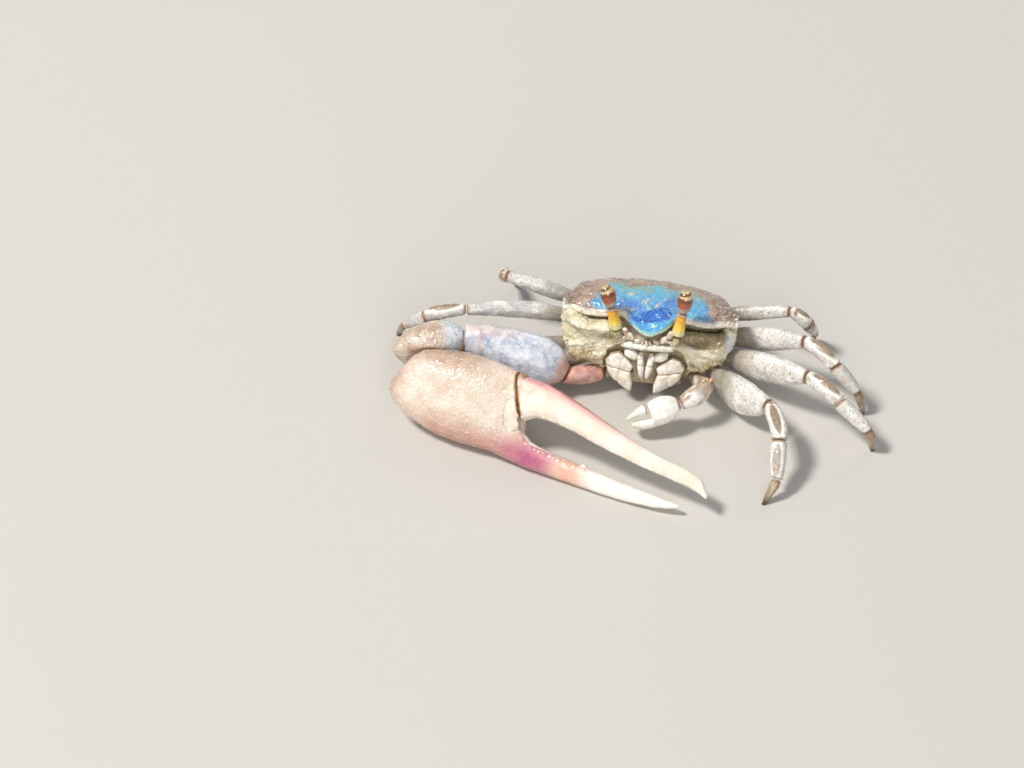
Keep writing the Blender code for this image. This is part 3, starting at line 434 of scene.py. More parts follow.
def face_finish():
    """The granular cheeks, yellow cream, tan in the eye hollows; painted shade in the fold creases, on the
    lower cheeks and under the left brow, painted highlight on the fold tops.
    """
    f = Finish("painted face shell", (1.3, 5), (0.28, 4), "#F0E9CF", "#DDD0A8", 0.38, 0.62)
    f.lay(f.ease(f.swell(1.1, 5, 0.65, 0.8), 0.56, 0.68, 0, 0.7), "#B79E76")
    f.lay(f.ease(f.swell(0.6, 5, 0.65, 0.5), 0.56, 0.7, 0, 0.8), "#F6F2E2")
    # deep is painted shade for the top of the left eye hollow, under the brow
    deep, tan = f.mottle(f.fine, "#4A4522", "#686038"), f.mottle(f.fine, "#A8926A", "#8A7752")
    # Painted shade: low darkens the fold creases and under darkens the lower cheeks; painted highlight:
    # high lightens the fold tops
    f.paint(low=f.mottle(f.wide, "#947A50", "#B0966A", 0.3, 0.7), high="#F7F3E6",
            under=f.mottle(f.fine, "#857D58", "#A49A70"), hollow=f.blend(f.mask("hollow_top"), tan, deep),
            corner="#E2E8EC", inside=f.mottle(f.fine, "#AE9C78", "#C6B592"),
            seat=f.mottle(f.fine, "#B2A67C", "#978A5E"), ridge=f.mottle(f.fine, "#F7F7EE", "#DFE2C8"))
    f.emboss(f.cells(0.24), 0.08, 0.9)
    f.emboss(f.fine, 0.06, 0.6)
    return f.done(f.ease(f.wide, 0.35, 0.65, 0.18, 0.4), 0.5, 0.1, 0.1)


def ivory_finish(name, light, shade, stain):
    """Smooth pale shell with soft clouding and brown stain along its sutures."""
    f = Finish(name, (1.0, 4), (0.2, 3), light, shade, 0.4, 0.65)
    marbling = f.ease(f.swell(0.7, 5, 0.6, 1.5), 0.56, 0.64, 0, 0.5)
    f.lay(marbling, f.blend(0.5, f.colour, stain))
    f.paint(stain=stain)
    f.emboss(f.fine, 0.03, 0.4)
    return f.done(0.28, 0.45, 0.1, 0.12)


def palm_finish():
    """Cream-beige and finely pebbled, rose below, purple towards the fixed finger, tan along the top."""
    f = Finish("pebbled claw shell", (1.8, 4), (0.25, 3), "#F0E3D4", "#E2CDBA")
    f.paint(rose=f.mottle(f.wide, "#C8847C", "#C4927E", 0.3, 0.7),
            top=f.mottle(f.swell(0.9, 4), "#A4826A", "#CCAC92", 0.35, 0.65))
    pebble = f.ease(f.cells(0.32, "DISTANCE_TO_EDGE"), 0.02, 0.16)
    valley = f.maths("MULTIPLY", f.maths("SUBTRACT", 1.0, pebble), f.mask("pebbled"))
    f.lay(f.maths("MULTIPLY", valley, 0.24), "#B08C70")
    f.lay(f.ease(f.swell(0.5, 5, 0.6, 1.0), 0.68, 0.74, 0, 0.4), "#9A7454")
    f.paint(purple=f.mottle(f.wide, "#B25E80", "#C87A8A", 0.3, 0.7), peach="#E8B298", ivory="#F8F3E8",
            beads="#F8EEEC", plate=f.mottle(f.wide, "#ECDFCF", "#DCC7B4", 0.35, 0.65),
            hinge=f.mottle(f.fine, "#9A7450", "#B8986E"))
    f.emboss(f.maths("MULTIPLY", pebble, f.mask("pebbled")), 0.05, 0.6)
    f.emboss(f.fine, 0.03, 0.35)
    return f.done(f.ease(f.fine, 0.3, 0.7, 0.2, 0.36), 0.45, 0.1, 0.12)


def finger_finish():
    """The moving finger: ivory, rose along its upper edge and at its root."""
    f = Finish("ivory claw finger", (2.2, 4), (0.25, 3), "#F2EADC", "#E9DAC6", 0.35, 0.7)
    f.paint(blush="#F0C4B4", pink=f.mottle(f.wide, "#CE7078", "#E09484", 0.3, 0.7), magenta="#B8508A")
    f.lay(f.ease(f.swell(0.7, 5, 0.6, 1.0), 0.66, 0.74, 0, 0.6), "#DDBB92")
    f.paint(hinge="#B08A64")
    f.emboss(f.fine, 0.025, 0.35)
    return f.done(0.22, 0.5, 0.08, 0.16)


def merus_finish():
    """Pale blue-grey like wet porcelain, streaked, pink along its rims and orange at its lower root."""
    f = Finish("porcelain claw arm", (1.5, 5, 0.6, 0.8), (0.2, 3), "#D9DCE4", "#ABB4C8", 0.36, 0.66)
    f.lay(f.ease(f.swell(0.7, 4, 0.6, 1.5), 0.48, 0.66, 0, 0.75), "#EDEEF0")
    f.lay(f.ease(f.swell(0.5, 5, 0.6, 2.0), 0.62, 0.7, 0, 0.5), "#8A8FA2")
    f.paint(edge=f.mottle(f.wide, "#E9D6CE", "#D2B2A8"), orange="#DE9878", joint="#C9A892")
    f.emboss(f.fine, 0.03, 0.4)
    f.emboss(f.wide, 0.1, 0.4)
    return f.done(0.2, 0.55, 0.08, 0.14)


def carpus_finish():
    """Tan-brown and finely grained, white-blue towards the joint with the arm."""
    f = Finish("tan claw wrist", (1.2, 4), (0.25, 3), "#E6D8C8", "#C6AC98")
    net = f.ease(f.cells(0.3, "DISTANCE_TO_EDGE"), 0.16, 0.02)
    f.lay(f.maths("MULTIPLY", net, 0.5), "#8E6E56")
    f.paint(pale=f.mottle(f.fine, "#E4E6EA", "#BFC2CA"))
    f.emboss(f.cells(0.3), 0.05, 0.7)
    f.emboss(f.fine, 0.03, 0.3)
    return f.done(0.24, 0.5, 0.1, 0.1)


def salmon_finish():
    """Marbled pink, paler at the joint."""
    f = Finish("salmon claw root", (0.9, 4), (0.2, 3), "#D8ACA0", "#C08A80")
    f.lay(f.ease(f.swell(0.5, 5), 0.54, 0.68, 0, 0.6), "#EBD8CC")
    f.paint(joint="#E2A890")
    f.emboss(f.fine, 0.03, 0.4)
    return f.done(0.3, 0.3, 0.15, 0.15)


def leg_finish():
    """Whitish grey with a fine brown network, dark ovals on the wrists and brown bands at the joints."""
    f = Finish("netted leg shell", (1.4, 4), (0.2, 4), "#F6F4EF", "#DAD6CE")
    net = f.ease(f.swell(0.27, 3, 0.5, 2.5), 0.42, 0.5, 1, 0)
    f.lay(f.maths("MULTIPLY", net, f.ease(f.swell(0.9, 3), 0.36, 0.58, 0.3, 0.9)), "#8E8172")
    # Painted shade with some of the legs' own darker root tint: grey-green towards the body
    f.paint(dusk=f.mottle(f.fine, "#B9B6BE", "#97949C"), olive=f.mottle(f.fine, "#968E78", "#7A7260"),
            halo="#F8F3E8", oval=f.mottle(f.fine, "#8A7662", "#A8957E", 0.4, 0.62))
    f.paint(blush=f.blend(0.5, f.colour, "#B08470"), joint=f.mottle(f.fine, "#9C7C60", "#BCA086"))
    f.emboss(f.cells(0.28), 0.04, 0.6)
    f.emboss(f.fine, 0.03, 0.4)
    return f.done(f.ease(f.fine, 0.3, 0.7, 0.26, 0.42), 0.3, 0.15, 0.1)


def toe_finish():
    """Tan horn, dark at the tip."""
    f = Finish("horn toe", (0.8, 4), (0.15, 3), "#B9A88C", "#96815F")
    f.paint(tip="#4E3A26", joint="#94705A")
    f.emboss(f.fine, 0.03, 0.4)
    return f.done(0.36, 0.3, 0.15, 0.08)


def small_claw_finish():
    """Bright white porcelain, brown at the joints, a little green-grey at the finger tips."""
    f = Finish("white small claw", (1.0, 4), (0.2, 3), "#F4F1EC", "#E4DCD0", 0.4, 0.7)
    f.paint(brown=f.mottle(f.wide, "#8E6E52", "#C2A88A", 0.35, 0.65), joint="#7C5638", tip="#DCE0BE")
    f.emboss(f.fine, 0.03, 0.35)
    return f.done(0.22, 0.5, 0.08, 0.14)


def stalk_finish():
    """Egg-yolk yellow, pale green at the foot, grey-brown where it meets the eye."""
    f = Finish("yellow eyestalk", (0.5, 4), (0.15, 3))
    height = f.mask("height")
    f.colour = f.mottle(height, "#D8D6A0", "#EBCB4C", 0.05, 0.4)
    f.lay(f.ease(height, 0.4, 0.75), "#E5A92C")
    f.lay(f.ease(height, 0.88, 0.99), f.mottle(f.fine, "#CDBBA8", "#A8947F"))
    f.lay(f.ease(f.wide, 0.58, 0.7, 0, 0.4), "#B5862A")
    f.emboss(f.fine, 0.03, 0.4)
    return f.done(0.22, 0.5, 0.08, 0.18)


def eye_finish():
    """The eye: grey-pink below, red-brown in the middle, very glossy, with a painted reflection on top: a
    pale cap with one dark spiral.
    """
    f = Finish("faceted eye", (0.25, 4), (0.25, 4), "#BFB0AC", "#A08A80")
    height = f.mask("height")
    f.lay(f.ease(height, 0.14, 0.34), "#A85A34")
    f.lay(f.ease(height, 0.38, 0.62), "#7A3814")
    # Painted reflection: the pale cap with its dark spiral stands for the lamp's reflection
    cap = f.mottle(f.fine, "#DECAA4", "#C0A478", 0.35, 0.65)
    f.lay(f.ease(height, 0.66, 0.76), f.blend(f.mask("reflected_rings"), cap, "#7A5632"))
    f.emboss(f.cells(0.05), 0.006, 0.5)
    return f.done(0.1, 1.0, 0.03, 0.08)


def skin_finish():
    f = Finish("brown joint skin", (0.15, 4), (0.15, 4), "#94745A", "#B4957A")
    f.emboss(f.fine, 0.04, 0.6)
    return f.done(0.4, 0.25, 0.2, 0.2)


def bristle_finish():
    return Finish("golden bristle", (0.8, 3), None, "#C2A46A", "#80602F").done(0.4, 0.1, 0.3)


def spine_finish():
    return Finish("orange spine", (0.4, 3), None, "#DDB070", "#B98850").done(0.35, 0.2, 0.2)


# The back shell

BLUE_FIELD = ((-6.96, 3.11), (-6.58, 2.32), (-5.9, 0.61), (-4.91, -0.75), (-3.16, -0.93), (-2.71, 0.05),
              (-2.08, -0.34), (-0.75, -0.55), (0.58, -1.1), (2.24, -0.36), (3.57, -1.0), (5.25, -0.03),
              (6.15, 1.24), (6.65, 2.41), (6.89, 3.31), (6.4, 3.9), (4.65, 3.9), (3.4, 3.8), (3.1, 4.4),
              (3.0, 7.0), (-3.0, 7.0), (-3.1, 4.4), (-3.44, 3.95), (-5.78, 3.6))
SADDLE = ((-2.2, 4.5), (-1.2, 3.91), (-0.46, 3.5), (-0.1, 3.32), (0.33, 3.03), (1.24, 2.67), (2.07, 2.88),
          (2.47, 3.5), (2.2, 4.14), (1.3, 4.61), (0.39, 4.83), (-0.79, 5.1), (-1.6, 5.18))
ROYAL_SWEEPS = (
    ((-3.9, 2.41), (-2.99, 1.84), (-1.76, 2.21), (-0.74, 3.17), (-0.94, 3.8), (-1.96, 4.42), (-2.91, 4.04),
     (-3.7, 3.59)),
    ((-0.07, 3.07), (1.05, 2.02), (1.95, 1.49), (2.68, 1.1), (2.85, 3.27), (2.06, 2.81), (1.23, 2.59)),
)
# The start, end and width of each pale streak
STREAKS = (
    ((-0.38, 3.25), (-0.74, 2.36), 0.12), ((-0.74, 2.36), (-0.62, 1.81), 0.2),
    ((-0.74, 2.36), (-1.06, 2.12), 0.13), ((0.36, 2.98), (0.94, 2.3), 0.15),
    ((-2.45, 3.42), (-2.1, 3.4), 0.16), ((1.95, 3.75), (2.12, 3.85), 0.14),
    ((-2.6, 1.0), (-2.35, 1.05), 0.3), ((-3.3, 2.5), (-3.1, 2.45), 0.12), ((1.4, 1.6), (1.5, 1.45), 0.14),
)
RING_CENTRE = (-2.99, 3.52)
RING_SIZE = (0.33, 0.22)
BLUE_EDGE = 2.0
ROYAL_EDGE = 0.6
SADDLE_EDGE = 0.16
LOBE_HALF_WIDTH = 2.7
RIM_FACING = (-0.2, 0.45)


def build_back_shell():
    """The carapace, with a raised rim, grained sides and painted middle."""
    shell, points = rounded("carapace", "back_shell", crease=0.35)
    x, forward, _ = in_body(points)
    side = np.abs(x)
    up = facing(shell)[:, 2]
    to_rim = distance_to(points[(up < RIM_FACING[1]) & (up > RIM_FACING[0])], points)
    top = step(up, 0.3, 0.7)
    rough = np.maximum(step(side, 5.5, 8.0), step(-forward, 0.5, 3.5))
    lip = bump(to_rim, 0.2, 0.22) * top
    trough = bump(to_rim, 0.7, 0.3) * top * step(forward, -1, 2)
    coarse = grain(points, 0.34) * (0.2 + 0.8 * rough)
    creases = cracks(points, 1.5, 7) * (0.3 + 0.7 * rough) * top
    relief = 0.08 * lip - 0.06 * trough + 0.07 * coarse + 0.08 * grain(points, 1.2, 5)
    raise_by(shell, relief - 0.09 * creases)

    u = x + 0.12 * grain(points, 0.7, 21) + 0.2 * grain(points, 1.9, 22)
    v = forward + 0.12 * grain(points, 0.7, 33) + 0.15 * grain(points, 1.9, 34)
    middle = step(LOBE_HALF_WIDTH - side, 0, 0.3)
    on_lobe = middle * step(forward, 4.0, 4.6)
    lobe = step(forward + 0.12 * x, 4.62, 5.0) * middle
    saddle = inside_of(SADDLE, x, forward, SADDLE_EDGE)
    royal = np.maximum(*(inside_of(outline, u, v, ROYAL_EDGE) for outline in ROYAL_SWEEPS))
    flecked = step(6.0 - side, 0, 1.5) * step(forward, -0.5, 0.5)
    streak = [fade(from_line(u, v, a, b), width * 0.5, width) for a, b, width in STREAKS]
    ring = np.hypot((x - RING_CENTRE[0]) / RING_SIZE[0], (forward - RING_CENTRE[1]) / RING_SIZE[1])
    beside = step(side, 2.3, 2.9)
    rim = fade(to_rim, 0.2, 0.55) * step(forward, 1.6, 2.8) * beside * (0.75 + 0.25 * np.sign(-x))
    thin = fade(to_rim, 0.05, 0.16) * step(forward, 1.0, 2.0) * beside
    # The low mask is painted shade in the shell's creases
    finished(shell, shell_finish(), "carapace", "carapace", low=creases * 0.8 * rough,
             blue=inside_of(BLUE_FIELD, u, v, BLUE_EDGE) * np.maximum(top, on_lobe * step(up, -0.3, 0.0)),
             behind=step(1.4 - v, -0.6, 1.6), royal=royal * 0.85, saddle=saddle, lobe=lobe,
             lobe_rim=lobe * fade(up, 0.0, 0.75), flecked=flecked * (1 - lobe) * (1 - saddle),
             streak=np.maximum(np.max(streak, axis=0), bump(ring, 1, 0.35)) * 0.9 * top,
             rim=np.maximum(rim, 0.85 * thin))


# The face, mouth and eyes

BROW_FILL = 1.25
BROW_LIFT = 0.4
SEAT_PINCH = 0.3
STALK_SEATS = ((3.3, -5.1, -1.4), (-3.75, -5.1, -1.45))
RIDGE_RISE = 0.15


def shape_brow(face, points):
    """Fill out the brow on the right, lift the face under it, and draw the face in at the stalks' seats."""
    x, forward, height = in_body(points)
    slot = fade(((x + 6.3) / 3.7) ** 2 + ((height + 0.8) / 1.25) ** 2, 0.5, 1.1)
    ahead = np.array(BODY_FRAME.to_3x3() @ Vector((0, -1, 0.35)))
    points = points + (BROW_FILL * slot * step(forward, 1.8, 2.4) * step(-x, 3.9, 4.8))[:, None] * ahead
    under_brow = step(height, -1.3, -0.4) * step(forward, 1.6, 2.4) * step(-x, 2.8, 3.4)
    points = points + (BROW_LIFT * under_brow)[:, None] * np.array(UP)
    near_seat = np.zeros(len(points))
    for seat in STALK_SEATS:
        away = points - np.array(BODY_FRAME @ Vector(seat))
        near = fade(np.linalg.norm(away, axis=1), 0.9, 1.5)
        points = points - away * (SEAT_PINCH * near)[:, None]
        near_seat = np.maximum(near_seat, near)
    move_points(face, points)
    return points, near_seat


def build_face():
    """Cheeks, eye hollows and mouth frame in one grained piece."""
    face, points = remeshed("face", "face_shell", voxel=0.13, passes=4)
    points, near_seat = shape_brow(face, points)
    x, forward, height = in_body(points)
    side = np.abs(x)
    on_left = step(x, 2.6, 3.2)
    hollow = fade(((x - 6.3) / 3.05) ** 2 + ((height + 1.45) / 1.3) ** 2, 0.8, 1.1)
    hollow *= step(forward, 2.2, 2.8)
    near_stalk = bump(x + 3.9, 0, 1.1) * bump(height + 1.0, 0, 1.0) * step(forward, 3.0, 3.6)
    inside = step(4.5 - forward, 0.0, 0.4) * step(4.7 - side, 0, 0.3) * step(-2.5 - height, 0, 0.3)
    ridge_height = -2.3 - 0.05 * x * x + 0.25 * bump(x, 0, 0.6)
    ridge = bump(height, ridge_height, 0.7) * step(3.3 - side, 0, 0.3) * step(forward, 4.7, 5.0)
    cheek = (1 - hollow) * (1 - inside) * (1 - ridge) * step(forward, 1.0, 2.2)
    lie = np.stack([(side - 5) * 0.4 + height * 0.25, (height + 0.45 * side) * 1.5, np.sign(x) * 9], axis=1)
    folds = grain(lie, 1.0, 3) + 0.5 * grain(lie * 2.1, 1.0, 12)
    grains = np.clip(grain(points, 0.33), -0.2, 1)
    lumps = np.clip(grain(points, 0.8, 17), 0, 1)
    relief = 0.16 * folds + 0.14 * grains + 0.12 * lumps + 0.10 * grain(points, 2.3, 5)
    raise_by(face, cheek * relief + RIDGE_RISE * ridge)
    finished(face, face_finish(), "face", "face",
             # Painted shade in the fold creases and painted highlight on the fold tops, following the
             # relief
             low=cheek * step(-folds, 0.12, 0.5) * step(grain(points, 1.6, 41), -0.3, 0.3) * 0.75,
             high=cheek * step(folds, 0.2, 0.6) * 0.55,
             # The left eye hollow is tan, with painted shade at its top under the brow
             hollow=np.maximum(hollow * on_left, 0.4 * near_stalk),
             hollow_top=step(height, -1.9, -1.0) * on_left, inside=inside, ridge=ridge,
             # Painted shade: under darkens the lower cheeks
             seat=0.8 * near_seat, under=step(-5.6 - height, -0.5, 0.8) * step(side, 3.5, 4.6) * 0.6,
             corner=bump(x, 9.35, 0.5) * bump(height, -2.3, 1.3) * step(forward, 1.8, 2.6))


def build_underside():
    """The breastplate and the tail folded under it."""
    finish = ivory_finish("pale underside", "#CFC4A6", "#A89B7C", "#6B5A40")
    for node in ("sternum", "abdomen"):
        plate, points = remeshed(node, f"{node}_shell", voxel=0.16, passes=6)
        raise_by(plate, 0.03 * grain(points, 0.5))
        finished(plate, finish, "underside", node, stain=0.5 + 0.5 * grain(points, 1.2, 4))


PLATE_RISE = 0.12
PALP_RISE = 0.07
PALP_ARM_RISE = 0.08
# Each line across a mouth plate as its two ends, measured out from the middle and up
SUTURE = ((1.4, -6.15), (4.6, -5.5))
GROOVE = ((2.6, -4.6), (2.9, -7.4))


def build_mouth():
    """The mouth plates with a brown suture across each, and the two white bent palps between them."""
    plate_finish = ivory_finish("ivory mouth plate", "#F6F1E6", "#E2D8C4", "#96795A")
    tip_finish = ivory_finish("white mouth feeler", "#FBF8F0", "#EBE3D0", "#8E7254")
    for side, sign in SIDES:
        plate, points = remeshed(f"maxilliped_{side}", f"mouth_plate_{side}", voxel=0.065, passes=5)
        x, _, height = in_body(points)
        out = x * sign
        suture = fade(from_line(out, height + 0.12 * grain(points, 0.8, 2), *SUTURE), 0.03, 0.11)
        groove = fade(from_line(out, height, *GROOVE), 0.05, 0.3)
        edge = step(facing(plate)[:, 1], -0.7, -0.2)
        outer = step(out, 3.0, 4.4) * step(grain(points, 0.6, 9), -0.2, 0.5) * 0.45
        raise_by(plate, PLATE_RISE - 0.12 * suture - 0.07 * groove + 0.05 * grain(points, 0.7, 5))
        finished(plate, plate_finish, "mouthpart", f"maxilliped_{side}",
                 stain=np.maximum.reduce([0.75 * suture, 0.7 * edge, outer]))

        palp, points = remeshed(f"palp_{side}", f"mouth_feeler_{side}", voxel=0.05, passes=4)
        x, _, height = in_body(points)
        ring = np.clip(bump(height, -4.95, 0.07) + bump(np.abs(x), 1.0, 0.07), 0, 1)
        arm = step(np.abs(x), 1.0, 1.4)
        raise_by(palp, -0.05 * ring + 0.02 * grain(points, 0.4, 3) + PALP_RISE + PALP_ARM_RISE * arm)
        finished(palp, tip_finish, "mouthpart", f"palp_{side}",
                 stain=np.maximum(0.7 * ring, step(-6.3 - height, 0, 0.4) * 0.3))


# How tightly the painted reflection's spiral turns
REFLECTION_SWIRL = 11.0
NECK_PLACE = 0.86
NECK_DEPTH = 0.07


def build_eyes():
    """The eyestalks, each with a neck, and the eyes with the spiral of a painted reflection on their caps.
    """
    for side, _ in SIDES:
        stalk, low = rounded(f"eyestalk_{side}", f"stalk_{side}", crease=0.5)
        eye, high = rounded(f"eye_{side}", f"eye_cap_{side}", crease=0.0)
        axis = high.mean(axis=0) - low.mean(axis=0)
        axis /= np.linalg.norm(axis)
        across = np.cross(axis, (0, 1, 0))
        across /= np.linalg.norm(across)
        over = np.cross(axis, across)
        for piece, points, finish, slot in ((stalk, low, STALK, "eyestalk"), (eye, high, EYE, "eye")):
            reach = points @ axis
            share = (reach - reach.min()) / (reach.max() - reach.min())
            numbers = {"height": share + 0.03 * grain(points, 0.5, 4)}
            if slot == "eyestalk":
                neck = bump(share, NECK_PLACE, 0.04) * (share < 0.97)
                raise_by(piece, 0.03 * grain(points, 0.5) - NECK_DEPTH * neck)
            else:
                # The dark spiral of the painted reflection on the eye's cap
                from_axis = points - points.mean(axis=0)
                u, v = from_axis @ across, from_axis @ over
                turn = np.arctan2(v, u) + REFLECTION_SWIRL * np.hypot(u, v)
                numbers["reflected_rings"] = step(np.sin(turn), 0.0, 0.6) * step(np.hypot(u, v), 0.08, 0.2)
            finished(piece, finish, slot, f"{slot}_{side}", **numbers)


FEELER_RINGS = 14
FEELER_THINNER = 0.22


def build_feelers():
    """The two thin ringed feelers, thinnest near the middle."""
    finish = ivory_finish("pale feeler", "#F0E8D2", "#CDBD9C", "#8E7450")
    for side, _ in SIDES:
        feeler, points = rounded(f"antenna_{side}", f"feeler_{side}", crease=0.3)
        out = np.abs(within(points, BODY_FRAME)[:, 0])
        rings = np.sin(out * FEELER_RINGS)
        raise_by(feeler, 0.02 * rings - FEELER_THINNER + 0.14 * step(out, 2.0, 4.6))
        finished(feeler, finish, "feeler", f"antenna_{side}", stain=step(-rings, 0.5, 1) * 0.4)


# Each front lobe's place (x, forward, height), size (width, depth, height), turn in degrees and stain
LOBES = (
    (-0.14, 5.55, -1.9, 0.2, 0.25, 0.42, 0, 0.0), (-0.6, 5.45, -1.95, 0.14, 0.22, 0.3, 20, 0.9),
    (0.32, 5.45, -1.95, 0.14, 0.22, 0.3, -20, 0.9), (-1.15, 5.35, -1.75, 0.46, 0.3, 0.26, -25, 0.2),
    (0.95, 5.35, -1.68, 0.46, 0.3, 0.28, 25, 0.2), (1.75, 5.2, -1.35, 0.36, 0.32, 0.6, 35, 0.2),
    (-2.0, 5.15, -1.4, 0.36, 0.32, 0.55, -35, 0.3), (2.45, 4.95, -0.8, 0.42, 0.34, 0.6, 20, 0.2),
    (-2.65, 4.95, -0.9, 0.4, 0.34, 0.6, -40, 0.7), (-3.1, 5.05, -1.75, 0.65, 0.32, 0.22, -20, 0.3),
    (2.7, 5.05, -1.8, 0.62, 0.32, 0.22, 25, 0.3),
)


def build_front_lobes():
    """The small teeth and flaps between the front lobe and the mouth frame."""
    finish = ivory_finish("pink-cream lobe", "#F6EDE0", "#DDBFAA", "#8A6A50")
    for i, (x, forward, height, width, depth, tall, turn, stain) in enumerate(LOBES):
        bpy.ops.mesh.primitive_uv_sphere_add(segments=24, ring_count=14, radius=1)
        lobe = bpy.context.object
        lobe.name = f"front_lobe_{i + 1}"
        lobe.data.transform(BODY_FRAME @ Matrix.Translation((x, -forward, height))
                            @ Matrix.Rotation(math.radians(turn), 4, "Y")
                            @ Matrix.Diagonal((width, depth, tall, 1)))
        points = points_of(lobe)
        raise_by(lobe, 0.08 * grain(points, 0.4, i))
        finished(lobe, finish, "feeler", stain=stain * step(grain(points, 0.5, i + 2), -0.25, 0.3))


# The claws

# The plate beside the finger's joint, as along and across the hand
HINGE_PLATE = ((6.5, 1.7), (7.2, 2.6), (8.2, 0.6), (8.7, -0.9), (7.6, -1.5), (6.9, -0.8))
# The gap's lower edge and the moving finger's upper edge, as places along and across the hand
TOOTHED_EDGE = ((8.4, 10.3, 14.5, 18.2, 25.5), (-0.9, -2.1, -2.55, -2.75, -3.3))
FINGER_EDGE = ((7, 11.7, 17.6, 23.5, 30), (5.1, 4.65, 3.1, 1.7, 0.5))
SEAM_WIDTH = 0.4
SEAM_RISE = 0.13
FINGER_SLIMMER = 0.24
COLLAR_RISE = 0.18


def build_large_palm():
    """The palm and its fixed finger, pebbled, with a beaded edge along the gap."""
    palm, points = remeshed("claw_large_palm", "large_palm", voxel=0.11, passes=8)
    along, across, through = within(points, HAND_FRAME).T
    on_palm = fade(along, 6.2, 9.0)
    plate = inside_of(HINGE_PLATE, along + 0.1 * grain(points, 0.8, 8), across, 0.3) * step(through, 0, 0.5)
    pebbled = on_palm * step(5.3 - np.abs(across - 0.5), -0.2, 0.8) * (1 - plate)
    dents = cracks(points, 2.2, 4) * on_palm
    relief = pebbled * 0.06 * grain(points, 0.3) + 0.05 * grain(points, 1.4, 2) - 0.05 * dents
    seam = near_joint(palm, "claw_large_palm", SEAM_WIDTH, "claw_large_dactyl") * step(across, -2, 0)
    raise_by(palm, relief - 0.1 * bump(plate, 0.4, 0.25) + SEAM_RISE * seam)
    blotchy = 0.5 + 0.5 * grain(points, 1.6, 14)
    rose = step(-across, 0.8, 3.8) * step(along, -8.0, 1.0) * fade(along, 11, 14)
    rose = np.maximum(rose, 0.6 * step(-along, 4.8, 7.2) * step(across, -0.5, 1.5))
    top = step(across, 2.2, 4.7) * fade(along, -1.0, 6.5)
    top = np.maximum(top, 0.8 * step(-along, 5.6, 7.6))
    above_edge = across - np.interp(along, *TOOTHED_EDGE)
    hinge = near_joint(palm, "claw_large_palm", 0.16, "claw_large_dactyl") * step(across, -2, 0)
    finished(palm, palm_finish(), "claw_large_palm", "claw_large_palm", pebbled=pebbled, plate=plate,
             rose=rose * (0.6 + 0.4 * blotchy), top=top * (0.7 + 0.3 * blotchy),
             purple=step(along, 4.5, 10.5) * fade(along, 11.5, 16.0) * step(-across, 0.5, 3.6),
             peach=step(along, 12.5, 15.0) * fade(along, 16.0, 19.5) * 0.9, ivory=step(along, 15.5, 20.0),
             beads=step(above_edge, -0.12, 0.0) * step(along, 9.0, 9.6) * step(through, 0.1, 0.3),
             hinge=np.maximum(hinge, 0.6 * bump(plate, 0.4, 0.2)))


def build_large_finger():
    """The moving finger, pink along its upper edge."""
    finger, points = remeshed("claw_large_dactyl", "large_moving_finger", voxel=0.10, passes=8)
    along, across, _ = within(points, HAND_FRAME).T
    below = np.interp(along, *FINGER_EDGE) - across
    seam = near_joint(finger, "claw_large_dactyl", SEAM_WIDTH, "claw_large_palm")
    slimmer = FINGER_SLIMMER * step(along, 14, 24) * fade(along, 29, 31.5)
    relief = 0.02 * grain(points, 0.7, 6) + 0.03 * grain(points, 2.0, 16)
    raise_by(finger, relief + SEAM_RISE * seam - slimmer)
    pink = fade(below, 0.0, 0.65) * fade(along, 16, 27) * 0.7
    root = fade(along, 8.4, 10.4) * step(grain(points, 0.9, 5), -0.2, 0.5) * fade(below, 0.6, 2.4) * 0.4
    finished(finger, finger_finish(), "claw_large_finger", "claw_large_dactyl", pink=np.maximum(pink, root),
             blush=fade(below, 0.4, 1.8) * fade(along, 12, 22) * 0.6,
             magenta=fade(below, 0.0, 0.45) * bump(along, 11.5, 3.0) * 0.2,
             hinge=near_joint(finger, "claw_large_dactyl", JOINT_BAND, "claw_large_palm"))


def build_large_arm():
    """The arm's root, its long porcelain segment with a collar at the wrist, and the wrist."""
    ischium, points = rounded("claw_large_ischium", "large_arm_root")
    raise_by(ischium, 0.05 * grain(points, 0.7, 2))
    finished(ischium, salmon_finish(), "claw_large_arm", "claw_large_ischium",
             joint=near_joint(ischium, "claw_large_ischium", 0.5))

    merus, points = rounded("claw_large_merus", "large_upper_arm")
    height = points[:, 2]
    share = (height - height.min()) / (height.max() - height.min())
    to_wrist = near_joint(merus, "claw_large_merus", 2.4, "claw_large_carpus")
    collar = bump(to_wrist, 0.55, 0.35) * step(to_wrist, 0.05, 0.2)
    raise_by(merus, 0.05 * grain(points, 1.2, 8) + 0.03 * grain(points, 0.4, 1) + COLLAR_RISE * collar)
    root = near_joint(merus, "claw_large_merus", 2.2, "claw_large_ischium")
    finished(merus, merus_finish(), "claw_large_arm", "claw_large_merus",
             orange=root * (0.6 + 0.4 * grain(points, 0.8, 2)),
             edge=np.maximum(step(share, 0.88, 1.0), 0.4 * root) * 0.6, joint=collar * 0.55)

    carpus, points = rounded("claw_large_carpus", "large_wrist", crease=0.3)
    pale = near_joint(carpus, "claw_large_carpus", 3.0, "claw_large_merus")
    raise_by(carpus, 0.07 * grain(points, 0.32) * (1 - pale) + 0.08 * grain(points, 1.1, 6))
    finished(carpus, carpus_finish(), "claw_large_arm", "claw_large_carpus", pale=pale)


